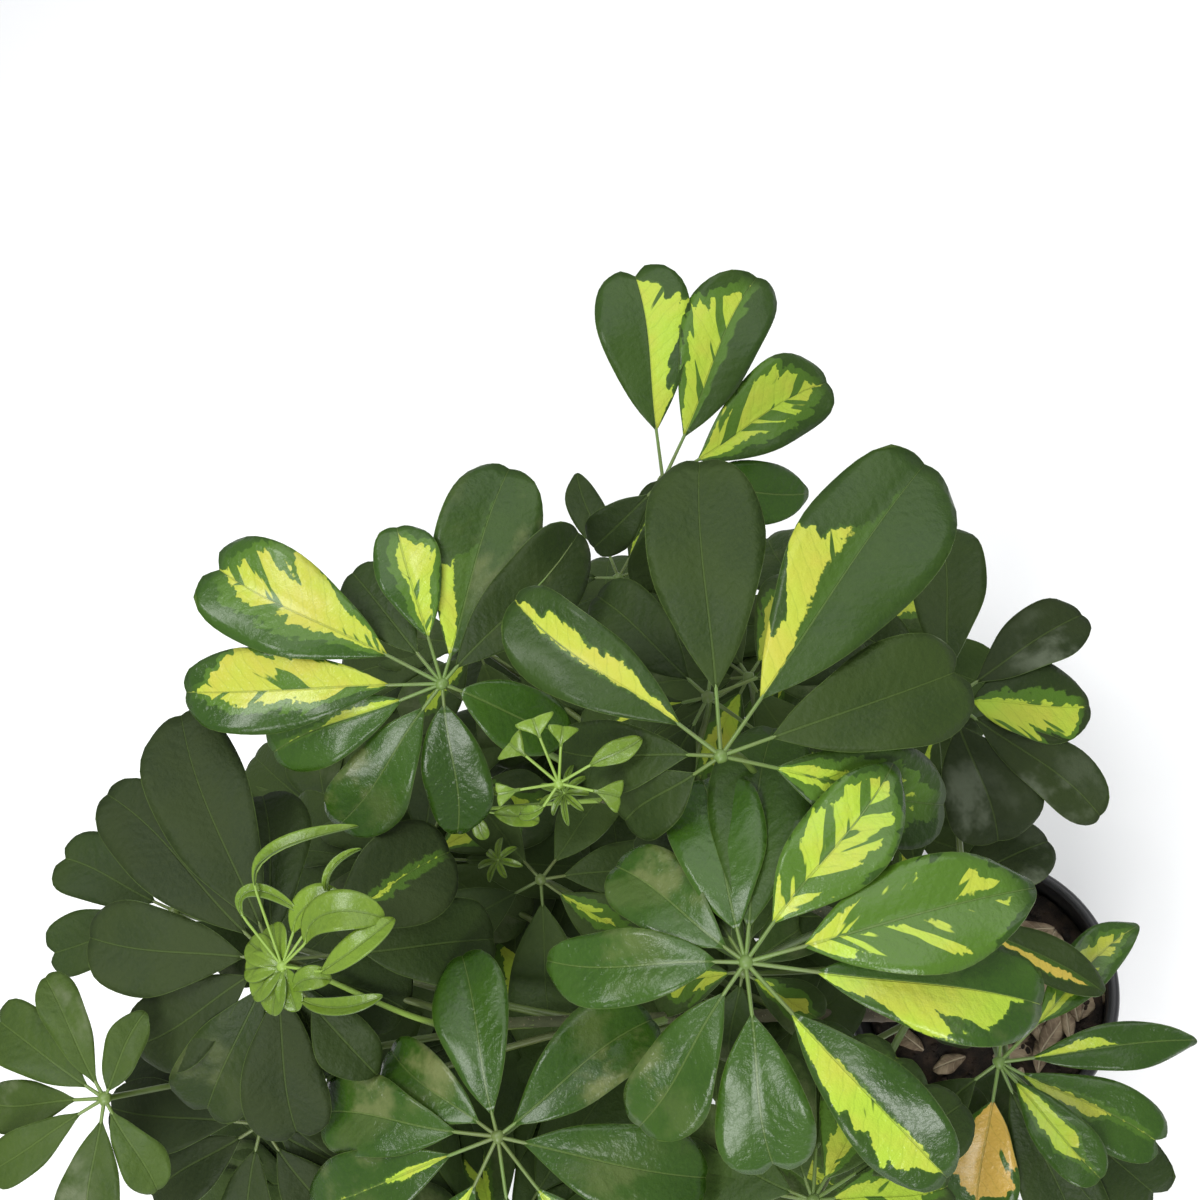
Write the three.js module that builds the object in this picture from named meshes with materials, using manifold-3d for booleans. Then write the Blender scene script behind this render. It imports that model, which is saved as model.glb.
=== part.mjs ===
// A variegated umbrella plant in a round nursery pot.
// Millimetres, +Z up. The origin is the middle of the pot's underside.
// Each compound leaf is one solid: a petiole, a hub and a ring of leaflets on short stalks.
import * as THREE from "three";
import { mergeVertices } from "three/addons/utils/BufferGeometryUtils.js";
import Module from "manifold-3d";

const wasm = await Module();
wasm.setup();

// Pot
const POT_HEIGHT = 130;
const POT_RIM_RADIUS = 75;
const POT_BASE_RADIUS = 53;
const POT_WALL = 1.8;
const RIM_WIDTH = 4.2;
const RIM_HEIGHT = 8;
const BASE_EDGE = 3;
const BASE_THICKNESS = 5.4;
const CHANNEL_INNER = 24;
const CHANNEL_OUTER = 44;
const CHANNEL_DEPTH = 3;
const DRAIN_HOLES = 6;
const DRAIN_RADIUS = 5;
const POT_SIDES = 32;
const CHANNEL_SLOPE = 1.5;
const RIM_FOOT_EDGE = 0.8;
const RIM_FOOT_RISE = 2;
const RIM_OUTER_EDGE = 1.6;
const RIM_INNER_EDGE = 1.4;
const DRAIN_SIDES = 10;

// Soil, with its rings of points from the wall to the middle
const SOIL_LEVEL = 112;
const SOIL_SIDES = 20;
const SOIL_RINGS = [0.9, 0.68, 0.44, 0.2];
const SOIL_WAVE = 2.0;
const SOIL_CLOD_X = 7.1;
const SOIL_CLOD_Y = 6.3;
const SOIL_RIPPLE = 10.7;
const SOIL_MOUND = 1.6;
const SOIL_MOUND_REACH = 31;
const SOIL_SHOULDER = 6;
const SOIL_PHASE = 1.3;
const SOIL_RIPPLE_SHARE = 0.6;

// Fallen dry leaves in the soil, as [x, y, azimuth, droop, length, width, lean], and how high they lie
const LITTER = [
  [16, 9, 0, 8, 22, 11, 0],
  [-22, 6, 40, 9, 22, 11, -15],
  [15, -23, 80, 7, 22, 11, -9],
  [5, 31, 120, 10, 22, 11, 10],
  [-28, -23, 160, 5, 22, 11, 15],
  [41, -3, 200, 11, 22, 11, -2],
];
const LITTER_RISE = 1.2;

// Gap between pieces that touch
const SEAT_GAP = 0.3;

// Leaves
const BLADE_THICKNESS = 0.8;
const RIB_THICKNESS = 1.0;
const STALK_RADIUS = 0.85;
const PETIOLE_BASE_RADIUS = 1.9;
const PETIOLE_TIP_RADIUS = 1.3;
const PETIOLE_SIDES = 5;
const PETIOLE_STEPS = 5;
const HUB_RADIUS = 3.6;
const BLADE_ARCH = 26;
const BLADE_FOLD = 11;
const NOTCH_SHARE = 0.025;
const SMALL_BLADE = 84;
const TINY_BLADE = 30;
const RISE_SHARE = 0.36;
const STEM_PULL = 0.35;
const PETIOLE_START_SHARE = 0.35;
const PETIOLE_END_SHARE = 0.3;
const SMOOTHING = 0.05;

// Half width of a blade along its length, as shares of its greatest half width
const BLADE_STATIONS = [
  [0.0, 0.05],
  [0.26, 0.55],
  [0.56, 0.98],
  [0.84, 0.86],
  [1.0, 0.4],
];
const SMALL_STATIONS = [
  [0.0, 0.07],
  [0.4, 0.8],
  [0.77, 0.97],
  [1.0, 0.42],
];
const TINY_STATIONS = [
  [0.0, 0.12],
  [0.66, 1.0],
  [1.0, 0.4],
];

// The end faces of a blade's loop and the way that its sides are split, the same above and below
const FOLDED_CAPS = [[0, 1, 4], [0, 4, 5], [1, 2, 3], [1, 3, 4]];
const FOLDED_SPLITS = "fbffbf";
const PLAIN_CAPS = [[0, 1, 2], [0, 2, 3]];
const PLAIN_SPLITS = "ffbf";

// Woody stems as cubic curves, with the radius at the soil and at the top
const STEM_SIDES = 8;
const STEM_STEPS = 12;
const STEMS = {
  a: { base: 4.6, top: 3.0, points: [[12, -14, 84], [14, -18, 190], [-14, -22, 262], [-38, 22, 362]] },
  b: { base: 4.2, top: 2.6, points: [[-22, 4, 84], [-38, -6, 216], [-108, 44, 236], [-206, 92, 352]] },
  c: { base: 4.2, top: 2.6, points: [[6, 22, 84], [10, 32, 190], [-30, 112, 232], [-84, 130, 352]] },
};

// A leaf has its hub's place and the way it faces, as [azimuth, tilt from upright].
// Then come its stem and how far up the stem it grows, as a share of the stem's curve.
// A leaflet is [azimuth, droop, stalk, length, width, lean] in the leaf's own plane.
const LEAVES = {
  front: {
    hub: [-70, -3, 430], faces: [-90, 10], stem: "a", at: 0.9, tone: "green",
    leaflets: [
      [66, 12, 13, 68, 42, 0], [14, 4, 19, 80, 38, 10], [-24, 8, 24, 93, 46, -6], [-46, 16, 28, 90, 42, -8],
      [-86, 12, 26, 84, 36, 6], [-124, 20, 20, 64, 40, 0],
      [-166, 16, 15, 68, 34, 0], [140, 10, 12, 76, 32, 0],
      [106, 12, 10, 62, 34, 8],
    ],
  },
  tall: {
    hub: [-26, 59, 455], faces: [-90, 24], stem: "a", at: 1, tone: "green", bow: [14, 2, 0],
    leaflets: [
      [54, 8, 27, 99, 50, 0], [15, 6, 28, 122, 58, -6], [-20, 8, 22, 84, 46, 0], [-52, 20, 23, 78, 42, 0],
      [103, 6, 21, 88, 38, -8], [138, 30, 14, 68, 34, 0], [174, 32, 14, 44, 30, 0],
    ],
  },
  under_tall: {
    hub: [-14, 110, 400], faces: [-90, 15], stem: "c", at: 0.82, tone: "dark",
    leaflets: [
      [97, 8, 12, 64, 34, 0], [44, 16, 28, 62, 36, 0], [150, 20, 12, 56, 30, 0], [-160, 24, 14, 56, 30, 0],
      [-16, 24, 24, 58, 34, 0], [-74, 30, 26, 50, 30, 0],
    ],
  },
  left_back: {
    hub: [-101, 180, 440], faces: [-80, 30], stem: "c", at: 0.93, tone: "green",
    leaflets: [
      [114, 6, 28, 94, 50, 0], [143, 8, 24, 97, 40, 0], [163, 14, 20, 68, 34, 0], [-166, 18, 14, 73, 36, 0],
      [-124, 22, 10, 66, 32, 0], [-60, 20, 9, 58, 32, 0], [10, 12, 10, 84, 36, 20], [35, 6, 13, 94, 48, 0],
      [68, 2, 22, 51, 26, 0], [91, 14, 18, 52, 30, 0],
    ],
  },
  low_front: {
    hub: [-206, 28, 370], faces: [-90, 14], stem: "b", at: 0.72, tone: "green",
    leaflets: [
      [68, 10, 10, 73, 36, 0], [-2, 10, 9, 76, 38, 0], [110, 16, 11, 60, 32, 0], [137, 12, 20, 72, 38, 0],
      [162, 14, 24, 80, 36, 0], [-157, 18, 24, 66, 34, 0],
      [-122, 20, 26, 62, 34, 0], [-90, 18, 28, 60, 32, 0],
      [-50, 14, 12, 82, 40, 0],
    ],
  },
  left_big: {
    hub: [-236, 138, 420], faces: [-70, 30], stem: "b", at: 0.94, tone: "dark",
    leaflets: [
      [76, 6, 17, 106, 46, 0], [100, 8, 18, 94, 40, 0], [136, 10, 14, 74, 42, 0], [174, 20, 14, 68, 38, 0],
      [-152, 20, 14, 70, 40, 0], [-120, 16, 14, 72, 40, 0],
      [-86, 10, 26, 44, 28, 0], [-6, 14, 30, 64, 48, 0], [-34, 22, 40, 66, 42, 0],
    ],
  },
  far_left: {
    hub: [-287, 225, 370], faces: [-60, 30], stem: "b", at: 0.84, tone: "green",
    leaflets: [
      [119, 8, 11, 56, 36, 0], [162, 12, 12, 56, 32, 0], [80, 10, 12, 54, 30, 0], [-70, 18, 10, 48, 28, 0],
      [48, 12, 10, 50, 28, 0],
    ],
  },
  lime_left: {
    hub: [-328, 134, 430], faces: [-60, 24], stem: "b", at: 0.9, tone: "lime",
    leaflets: [
      [86, 6, 8, 55, 20, 0], [117, 12, 10, 58, 25, 0], [146, 20, 14, 46, 24, 0], [175, 6, 12, 48, 22, 0],
      [-141, 20, 14, 46, 24, 0], [-103, 20, 8, 40, 20, 0], [30, -6, 4, 36, 18, 0],
    ],
  },
  low_left: {
    hub: [-301, 109, 360], faces: [-60, 20], stem: "b", at: 0.79, tone: "dark",
    leaflets: [
      [138, 10, 14, 66, 36, 0], [174, 16, 12, 56, 32, 0],
      [-140, 20, 12, 54, 30, 0], [-92, 18, 14, 56, 32, 0],
      [-40, 16, 14, 56, 30, 0], [98, 8, 14, 56, 30, 0],
    ],
  },
  top_back: {
    hub: [37, 214, 400], faces: [-90, 34], stem: "c", at: 0.78, tone: "green",
    leaflets: [
      [58, 4, 25, 81, 47, 0], [25, 4, 24, 88, 42, 0], [-9, 6, 20, 77, 42, 0], [-44, 12, 14, 62, 32, 0],
      [-88, 22, 12, 50, 28, 0], [-134, 22, 12, 48, 28, 0], [-176, 20, 10, 40, 24, 0],
    ],
  },
  back: {
    hub: [-8, 232, 330], faces: [-90, 25], stem: "c", at: 0.66, tone: "dark",
    leaflets: [
      [72, 8, 12, 52, 20, 0], [22, 10, 12, 48, 28, 0], [139, 10, 12, 50, 30, 0], [-170, 18, 12, 48, 28, 0],
      [-16, 16, 12, 48, 28, 0], [-90, 24, 12, 46, 28, 0],
    ],
  },
  right: {
    hub: [70, 57, 345], faces: [-90, 8], stem: "a", at: 0.44, tone: "dark",
    leaflets: [
      [-4, 12, 15, 63, 31, 0], [-39, 16, 10, 55, 39, 0],
      [-77, 20, 14, 73, 29, 10], [-106, 24, 12, 56, 42, 0],
      [52, 10, 14, 80, 38, 0], [100, 14, 14, 54, 32, 0], [-158, 22, 14, 56, 30, 0],
    ],
  },
  shaded: {
    hub: [-135, 132, 320], faces: [-90, 20], stem: "b", at: 0.5, tone: "dark",
    leaflets: [
      [168, 12, 14, 70, 40, 0], [-135, 18, 12, 60, 34, 0], [-75, 20, 12, 60, 34, 0], [14, 16, 12, 50, 30, 0],
      [94, 10, 12, 50, 30, 0], [-30, 18, 12, 52, 30, 0],
    ],
  },
  pot_side: {
    hub: [-19, -59, 250], faces: [-90, 4], stem: "a", at: 0.42, tone: "green",
    leaflets: [
      [5, 8, 26, 70, 24, 0], [44, 18, 14, 54, 23, 0], [-31, 6, 16, 75, 26, 16], [-65, 10, 12, 68, 32, 0],
      [-79, 26, 16, 84, 42, 0], [-142, 20, 18, 54, 34, 0],
      [-89, -4, 12, 54, 26, 0], [175, 20, 14, 48, 28, 0],
    ],
  },
  over_pot: {
    hub: [3, 10, 292], faces: [-90, 10], stem: "a", at: 0.6, tone: "dark",
    leaflets: [
      [-22, 14, 14, 52, 32, 0], [-66, 16, 22, 72, 22, 0], [-112, 20, 14, 60, 34, 0], [62, 14, 16, 58, 32, 0],
      [102, 14, 16, 54, 32, 0], [146, 18, 14, 52, 30, 0],
    ],
  },
  young_left: {
    hub: [-227, 122, 440], faces: [-90, 20], stem: "b", at: 1, tone: "lime", slim: 0.75,
    leaflets: [
      [28, -6, 34, 46, 15, 50], [79, 4, 26, 22, 10, 40], [139, 10, 12, 24, 13, 0], [-172, 20, 10, 20, 12, 0],
      [-130, 25, 12, 20, 12, 0], [-94, 25, 12, 20, 11, 0],
      [-58, 12, 14, 34, 14, 30], [-24, 8, 20, 36, 19, 0],
      [2, 2, 18, 36, 20, 0],
    ],
  },
  young_top: {
    hub: [-84, 96, 455], faces: [-90, 15], stem: "c", at: 1, tone: "lime", slim: 0.7,
    leaflets: [
      [65, -30, 18, 12, 8, 0], [30, -26, 16, 10, 7, 0], [110, -20, 16, 12, 8, 0], [160, -6, 18, 12, 8, 0],
      [-145, 4, 14, 12, 8, 0], [-17, -6, 18, 26, 12, 0], [-52, 6, 14, 20, 11, 0],
    ],
  },
  young_pair: {
    hub: [-132, 154, 380], faces: [-90, 20], stem: "c", at: 0.97, tone: "lime", slim: 0.65,
    leaflets: [[10, 0, 4, 14, 9, 0], [-50, 12, 6, 26, 14, 0], [-110, 20, 4, 12, 8, 0]],
  },
};

// Leaves low in the crown, as [hub, faces, stem, how far up, first azimuth, count, reach, bow].
// A row may end with longer leaflets as [azimuth, reach].
const LOW_LEAVES = {
  low_near: [[-118, -66, 322], [-90, 8], "a", 0.6, 20, 7, 78, [0, 0, 0]],
  low_right: [[-50, -111, 218], [-90, 6], "a", 0.3, 10, 6, 74, [0, 0, 0]],
  low_back: [[62, 158, 276], [-90, 12], "c", 0.45, 30, 7, 76, [0, 0, 0]],
  low_far: [[-90, 262, 322], [-90, 22], "c", 0.7, 10, 6, 72, [0, 0, 0]],
  low_middle: [[-182, 192, 306], [-80, 16], "b", 0.62, 50, 6, 80, [0, 0, 0]],
  low_corner: [[-252, 8, 300], [-70, 10], "b", 0.64, 25, 7, 78, [0, 0, 0]],
  low_inner: [[20, 64, 232], [-90, 6], "c", 0.34, 0, 6, 66, [0, 0, 0], [[164, 110]]],
  low_side: [[-220, 258, 282], [-80, 14], "b", 0.56, 15, 6, 80, [0, 0, 0], [[49, 118]]],
  low_under: [[-200, 98, 262], [-90, 8], "b", 0.5, 0, 6, 76, [0, 0, 0], [[62, 118]]],
  low_behind: [[-66, 214, 262], [-90, 16], "c", 0.56, 40, 6, 80, [0, 0, 0], [[117, 116]]],
  low_edge: [[-318, 92, 296], [-70, 14], "b", 0.68, 20, 6, 72, [0, 0, 0]],
  low_core: [[-146, 8, 234], [-90, 6], "a", 0.36, -5, 6, 80, [0, 0, 0], [[54, 106]]],
  low_heart: [[-86, 42, 284], [-90, 8], "a", 0.62, -70, 5, 54, [0, 0, 0]],
  low_crown: [[8, 132, 344], [-90, 12], "c", 0.62, 20, 6, 66, [0, 0, 0]],
};
const LOW_STALK_SHARE = 0.18;
const LOW_WIDTH_SHARE = 0.56;
const LOW_DROOP = 18;
const LOW_DROOP_SWING = 4;
const LOW_DROOP_BEAT = 1.9;
const LOW_SIZE = 0.92;
const LOW_SIZE_SWING = 0.1;
const LOW_SIZE_BEAT = 2.7;
const LONGER_STALK_SHARE = 0.26;
const LONGER_WIDTH_SHARE = 0.42;
const LONGER_DROOP = 21;

// Colours and roughnesses
const TONES = { green: 0x4f7d33, dark: 0x3c5a30, lime: 0x9bbf4a };
const LEAF_ROUGHNESS = 0.45;
const PLASTIC = [0x232423, 0.55];
const COMPOST = [0x3a2a20, 0.95];
const BARK = [0x6d6552, 0.8];

function radians(degrees) {
  return THREE.MathUtils.degToRad(degrees);
}

function vector(list) {
  return new THREE.Vector3(...list);
}

// Joins loops of points, all of one length and anticlockwise seen from the far end, into a closed body.
// The split of each four-sided face is given by a letter for each edge of the loop.
function loft(loops, caps, splits) {
  const sides = loops[0].length;
  const positions = loops.flat().flatMap((p) => [p.x, p.y, p.z]);
  const faces = [];
  for (let i = 0; i + 1 < loops.length; i += 1) {
    for (let k = 0; k < sides; k += 1) {
      const a = i * sides + k;
      const b = i * sides + ((k + 1) % sides);
      const c = b + sides;
      const d = a + sides;
      if (splits[k % splits.length] === "f") {
        faces.push(a, b, c, a, c, d);
      } else {
        faces.push(a, b, d, b, c, d);
      }
    }
  }
  const last = (loops.length - 1) * sides;
  for (const [a, b, c] of caps) {
    faces.push(last + a, last + b, last + c);
    faces.push(c, b, a);
  }
  const geometry = new THREE.BufferGeometry();
  geometry.setAttribute("position", new THREE.Float32BufferAttribute(positions, 3));
  geometry.setIndex(faces);
  return geometry;
}

function fanCaps(sides) {
  return Array.from({ length: sides - 2 }, (_, k) => [0, k + 1, k + 2]);
}

// A round rod along a curve, from one radius to another
function rod(curve, steps, sides, startRadius, endRadius) {
  const frames = curve.computeFrenetFrames(steps, false);
  const loops = frames.tangents.map((_, i) => {
    const share = i / steps;
    const middle = curve.getPointAt(share);
    const radius = startRadius + (endRadius - startRadius) * share;
    return Array.from({ length: sides }, (_point, k) => {
      const turn = (2 * Math.PI * k) / sides;
      return middle
        .clone()
        .addScaledVector(frames.normals[i], radius * Math.cos(turn))
        .addScaledVector(frames.binormals[i], radius * Math.sin(turn));
    });
  });
  return loft(loops, fanCaps(sides), "f");
}

function solidOf(geometry) {
  const bare = geometry.clone();
  for (const name of ["normal", "uv"]) {
    bare.deleteAttribute(name);
  }
  const merged = mergeVertices(bare, 1e-4);
  const mesh = new wasm.Mesh({
    numProp: 3,
    vertProperties: merged.attributes.position.array,
    triVerts: new Uint32Array(merged.index.array),
  });
  return new wasm.Manifold(mesh);
}

function geometryOf(solid) {
  const mesh = solid.getMesh();
  const geometry = new THREE.BufferGeometry();
  geometry.setAttribute("position", new THREE.BufferAttribute(mesh.vertProperties, 3));
  geometry.setIndex(new THREE.BufferAttribute(mesh.triVerts, 1));
  return geometry;
}

function largest(solid) {
  return solid.decompose().sort((a, b) => b.volume() - a.volume())[0];
}

function named(name, solid, colour, roughness) {
  const material = new THREE.MeshStandardMaterial({ color: colour, roughness, metalness: 0 });
  const mesh = new THREE.Mesh(geometryOf(solid), material);
  mesh.name = name;
  return mesh;
}

function stemCurve(key) {
  return new THREE.CubicBezierCurve3(...STEMS[key].points.map(vector));
}

// A stem with its skin moved out by a gap
function stemSolid(key, gap) {
  const stem = STEMS[key];
  return solidOf(rod(stemCurve(key), STEM_STEPS, STEM_SIDES, stem.base + gap, stem.top + gap));
}

// The radius of the pot's inner wall at a height
function innerRadius(height) {
  const share = height / POT_HEIGHT;
  return POT_BASE_RADIUS + (POT_RIM_RADIUS - RIM_WIDTH - POT_BASE_RADIUS) * share - POT_WALL;
}

function makePot() {
  const wallTop = POT_RIM_RADIUS - RIM_WIDTH;
  const rimFoot = POT_HEIGHT - RIM_HEIGHT;
  const wallAt = (height) => POT_BASE_RADIUS + ((wallTop - POT_BASE_RADIUS) * height) / POT_HEIGHT;
  const profile = [
    [0, 0],
    [CHANNEL_INNER, 0],
    [CHANNEL_INNER + CHANNEL_SLOPE, CHANNEL_DEPTH],
    [CHANNEL_OUTER - CHANNEL_SLOPE, CHANNEL_DEPTH],
    [CHANNEL_OUTER, 0],
    [POT_BASE_RADIUS - BASE_EDGE, 0],
    [POT_BASE_RADIUS, BASE_EDGE],
    [wallAt(rimFoot), rimFoot],
    [POT_RIM_RADIUS - RIM_FOOT_EDGE, rimFoot],
    [POT_RIM_RADIUS, rimFoot + RIM_FOOT_RISE],
    [POT_RIM_RADIUS, POT_HEIGHT - RIM_OUTER_EDGE],
    [POT_RIM_RADIUS - RIM_OUTER_EDGE, POT_HEIGHT],
    [innerRadius(POT_HEIGHT) + RIM_INNER_EDGE, POT_HEIGHT],
    [innerRadius(POT_HEIGHT), POT_HEIGHT - RIM_INNER_EDGE],
    [innerRadius(BASE_THICKNESS + BASE_EDGE), BASE_THICKNESS + BASE_EDGE],
    [innerRadius(BASE_THICKNESS) - BASE_EDGE, BASE_THICKNESS],
    [0, BASE_THICKNESS],
  ];
  const points = profile.map(([radius, height]) => new THREE.Vector2(radius, height));
  const turned = new THREE.LatheGeometry(points, POT_SIDES);
  turned.rotateX(Math.PI / 2);
  let pot = solidOf(turned);
  const middle = (CHANNEL_INNER + CHANNEL_OUTER) / 2;
  for (let i = 0; i < DRAIN_HOLES; i += 1) {
    const turn = (2 * Math.PI * (i + 0.5)) / DRAIN_HOLES;
    const hole = new THREE.CylinderGeometry(DRAIN_RADIUS, DRAIN_RADIUS, 4 * BASE_THICKNESS, DRAIN_SIDES);
    hole.rotateX(Math.PI / 2);
    hole.translate(middle * Math.cos(turn), middle * Math.sin(turn), 0);
    pot = pot.subtract(solidOf(hole));
  }
  return named("pot", pot, ...PLASTIC);
}

// How far the soil stands above its level
function soilHeight(x, y) {
  const clods = Math.sin(x / SOIL_CLOD_X + SOIL_PHASE) * Math.cos(y / SOIL_CLOD_Y);
  const ripple = SOIL_RIPPLE_SHARE * Math.sin((x + 2 * y) / SOIL_RIPPLE);
  const mound = Math.cos(x / SOIL_MOUND_REACH) * Math.cos(y / SOIL_MOUND_REACH);
  return SOIL_WAVE * (clods + ripple) + SOIL_MOUND * mound;
}

function makeSoil(stems) {
  const floor = BASE_THICKNESS + SEAT_GAP;
  const ring = (radius, height) =>
    Array.from({ length: SOIL_SIDES }, (_, k) => {
      const turn = (2 * Math.PI * k) / SOIL_SIDES;
      const x = radius * Math.cos(turn);
      const y = radius * Math.sin(turn);
      return new THREE.Vector3(x, y, typeof height === "number" ? height : height(x, y));
    });
  // A ring of few sides inside a rounder wall keeps its corners off the wall's flats
  const corner = Math.cos(Math.PI / POT_SIDES);
  const edge = (height) => innerRadius(height) * corner - SEAT_GAP;
  const level = (x, y) => SOIL_LEVEL + soilHeight(x, y);
  const loops = [
    ring(edge(floor) - BASE_EDGE - 1, floor),
    ring(edge(floor + BASE_EDGE), floor + BASE_EDGE + 1),
    ring(edge(SOIL_LEVEL - SOIL_SHOULDER), SOIL_LEVEL - SOIL_SHOULDER),
    ...SOIL_RINGS.map((share) => ring(edge(SOIL_LEVEL) * share, level)),
  ];
  let soil = solidOf(loft(loops, fanCaps(SOIL_SIDES), "f"));
  for (const [x, y, azimuth, droop, length, width, lean] of LITTER) {
    const dry = blade([azimuth, droop, 0, length, width, lean], 1, true);
    dry.translate(x, y, level(x, y) + LITTER_RISE);
    soil = soil.add(solidOf(dry));
  }
  for (const key of stems) {
    soil = soil.subtract(stemSolid(key, SEAT_GAP));
  }
  return named("soil", largest(soil), ...COMPOST);
}

// A stalk and blade that starts at the origin, runs out along its azimuth and arches down
function blade([azimuth, droop, stalk, length, width, lean], slim, plain) {
  const start = radians(RISE_SHARE * BLADE_ARCH - droop);
  const bend = radians(BLADE_ARCH);
  const fold = plain ? 0 : radians(BLADE_FOLD);
  const out = new THREE.Vector3(Math.cos(radians(azimuth)), Math.sin(radians(azimuth)), 0);
  const side = new THREE.Vector3(out.y, -out.x, 0);
  const up = new THREE.Vector3(0, 0, 1);
  const along = (angle) => out.clone().multiplyScalar(Math.cos(angle)).addScaledVector(up, Math.sin(angle));
  // The middle of the blade on its arc, at a share of its length
  const midrib = (share) => {
    const first = along(start).multiplyScalar(stalk);
    const half = (bend * share) / 2;
    const chord = half < 1e-6 ? length * share : (length * share * Math.sin(half)) / half;
    return first.addScaledVector(along(start - half), chord);
  };
  const section = (middle, angle, halfWidth, edgeHalf, ribHalf, fold, setBack, turn) => {
    const tangent = along(angle);
    const normal = side.clone().cross(tangent).normalize();
    const across = side.clone().applyAxisAngle(tangent, turn);
    const above = normal.clone().applyAxisAngle(tangent, turn);
    const point = (sign, rise) => {
      const p = middle.clone().addScaledVector(across, sign * halfWidth * Math.cos(fold));
      p.addScaledVector(above, rise + Math.abs(sign) * halfWidth * Math.sin(fold));
      return sign === 0 ? p.addScaledVector(tangent, -setBack) : p;
    };
    const corners = [point(-1, edgeHalf), point(1, edgeHalf), point(1, -edgeHalf), point(-1, -edgeHalf)];
    const [first, second, third, fourth] = corners;
    return plain ? corners : [first, point(0, ribHalf), second, third, point(0, -ribHalf), fourth];
  };
  const stalkHalf = STALK_RADIUS * slim;
  const stalkEdge = plain ? stalkHalf : BLADE_THICKNESS / 2;
  const loops = [];
  if (stalk > 0) {
    loops.push(section(new THREE.Vector3(), start, stalkHalf, stalkEdge, stalkHalf, 0, 0, 0));
  }
  const small = length < TINY_BLADE ? TINY_STATIONS : SMALL_STATIONS;
  const stations = length < SMALL_BLADE ? small : BLADE_STATIONS;
  for (const [share, wide] of stations) {
    const first = share === 0;
    const halfWidth = Math.max((wide * width) / 2, stalkHalf);
    loops.push(section(
      midrib(share), start - bend * share, halfWidth,
      first ? stalkEdge : BLADE_THICKNESS / 2, first ? stalkHalf : RIB_THICKNESS / 2,
      first ? 0 : fold, share === 1 ? NOTCH_SHARE * length : 0, radians(lean) * share,
    ));
  }
  return plain ? loft(loops, PLAIN_CAPS, PLAIN_SPLITS) : loft(loops, FOLDED_CAPS, FOLDED_SPLITS);
}

function leafTurn([azimuth, tilt]) {
  const axis = new THREE.Vector3(-Math.sin(radians(azimuth)), Math.cos(radians(azimuth)), 0);
  return new THREE.Quaternion().setFromAxisAngle(axis, radians(tilt));
}

function petioleCurve(leaf) {
  const curve = stemCurve(leaf.stem);
  const start = curve.getPoint(leaf.at);
  const hub = vector(leaf.hub);
  const reach = hub.clone().sub(start);
  const toward = reach.clone().normalize();
  const out = toward.lerp(curve.getTangent(leaf.at), STEM_PULL).normalize();
  const facing = new THREE.Vector3(0, 0, 1).applyQuaternion(leafTurn(leaf.faces));
  const bow = vector(leaf.bow ?? [0, 0, 0]);
  return new THREE.CubicBezierCurve3(
    start,
    start.clone().addScaledVector(out, PETIOLE_START_SHARE * reach.length()).add(bow),
    hub.clone().addScaledVector(facing, -PETIOLE_END_SHARE * reach.length()).add(bow),
    hub,
  );
}

function makeLeaf(name, leaf) {
  const slim = leaf.slim ?? 1;
  const turn = leafTurn(leaf.faces);
  const hub = vector(leaf.hub);
  const pieces = leaf.leaflets.map((leaflet) => {
    const geometry = blade(leaflet, slim, leaf.tone === "dark");
    geometry.applyQuaternion(turn);
    geometry.translate(hub.x, hub.y, hub.z);
    return solidOf(geometry);
  });
  const knot = new THREE.OctahedronGeometry(HUB_RADIUS * slim, 0);
  knot.translate(hub.x, hub.y, hub.z);
  pieces.push(solidOf(knot));
  const petiole = rod(
    petioleCurve(leaf), PETIOLE_STEPS, PETIOLE_SIDES, PETIOLE_BASE_RADIUS * slim, PETIOLE_TIP_RADIUS * slim,
  );
  pieces.push(solidOf(petiole));
  const whole = wasm.Manifold.union(pieces).subtract(stemSolid(leaf.stem, SEAT_GAP));
  const plain = largest(whole).asOriginal().simplify(SMOOTHING);
  return named(name, plain, TONES[leaf.tone], LEAF_ROUGHNESS);
}

function lowLeaf([hub, faces, stem, at, first, count, reach, bow, longer = []]) {
  const leaflets = Array.from({ length: count }, (_, i) => {
    const size = reach * (LOW_SIZE + LOW_SIZE_SWING * Math.sin(LOW_SIZE_BEAT * i + first));
    const droop = LOW_DROOP + LOW_DROOP_SWING * Math.cos(LOW_DROOP_BEAT * i + first);
    const length = size * (1 - LOW_STALK_SHARE);
    return [first + (360 * i) / count, droop, size * LOW_STALK_SHARE, length, length * LOW_WIDTH_SHARE, 0];
  });
  for (const [azimuth, far] of longer) {
    const stalk = LONGER_STALK_SHARE * far;
    leaflets.push([azimuth, LONGER_DROOP, stalk, far - stalk, LONGER_WIDTH_SHARE * far, 0]);
  }
  return { hub, faces, stem, at, bow, leaflets, tone: "dark" };
}

const plant = new THREE.Group();
plant.add(makePot());
plant.add(makeSoil(Object.keys(STEMS)));
for (const key of Object.keys(STEMS)) {
  plant.add(named("stem_" + key, stemSolid(key, 0), ...BARK));
}
for (const [key, leaf] of Object.entries(LEAVES)) {
  plant.add(makeLeaf("leaf_" + key, leaf));
}
for (const [key, row] of Object.entries(LOW_LEAVES)) {
  plant.add(makeLeaf("leaf_" + key, lowLeaf(row)));
}

export default plant;
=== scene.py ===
"""A variegated umbrella plant in a black nursery pot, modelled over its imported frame.

Leaf places are in millimetres, as on the solids that the pieces replace. Meshes are in metres.
"""

import logging
import math
import random
from dataclasses import dataclass, field
from enum import Enum
from functools import cached_property

import bpy
import numpy as np
from mathutils import Matrix, Quaternion, Vector

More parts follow.
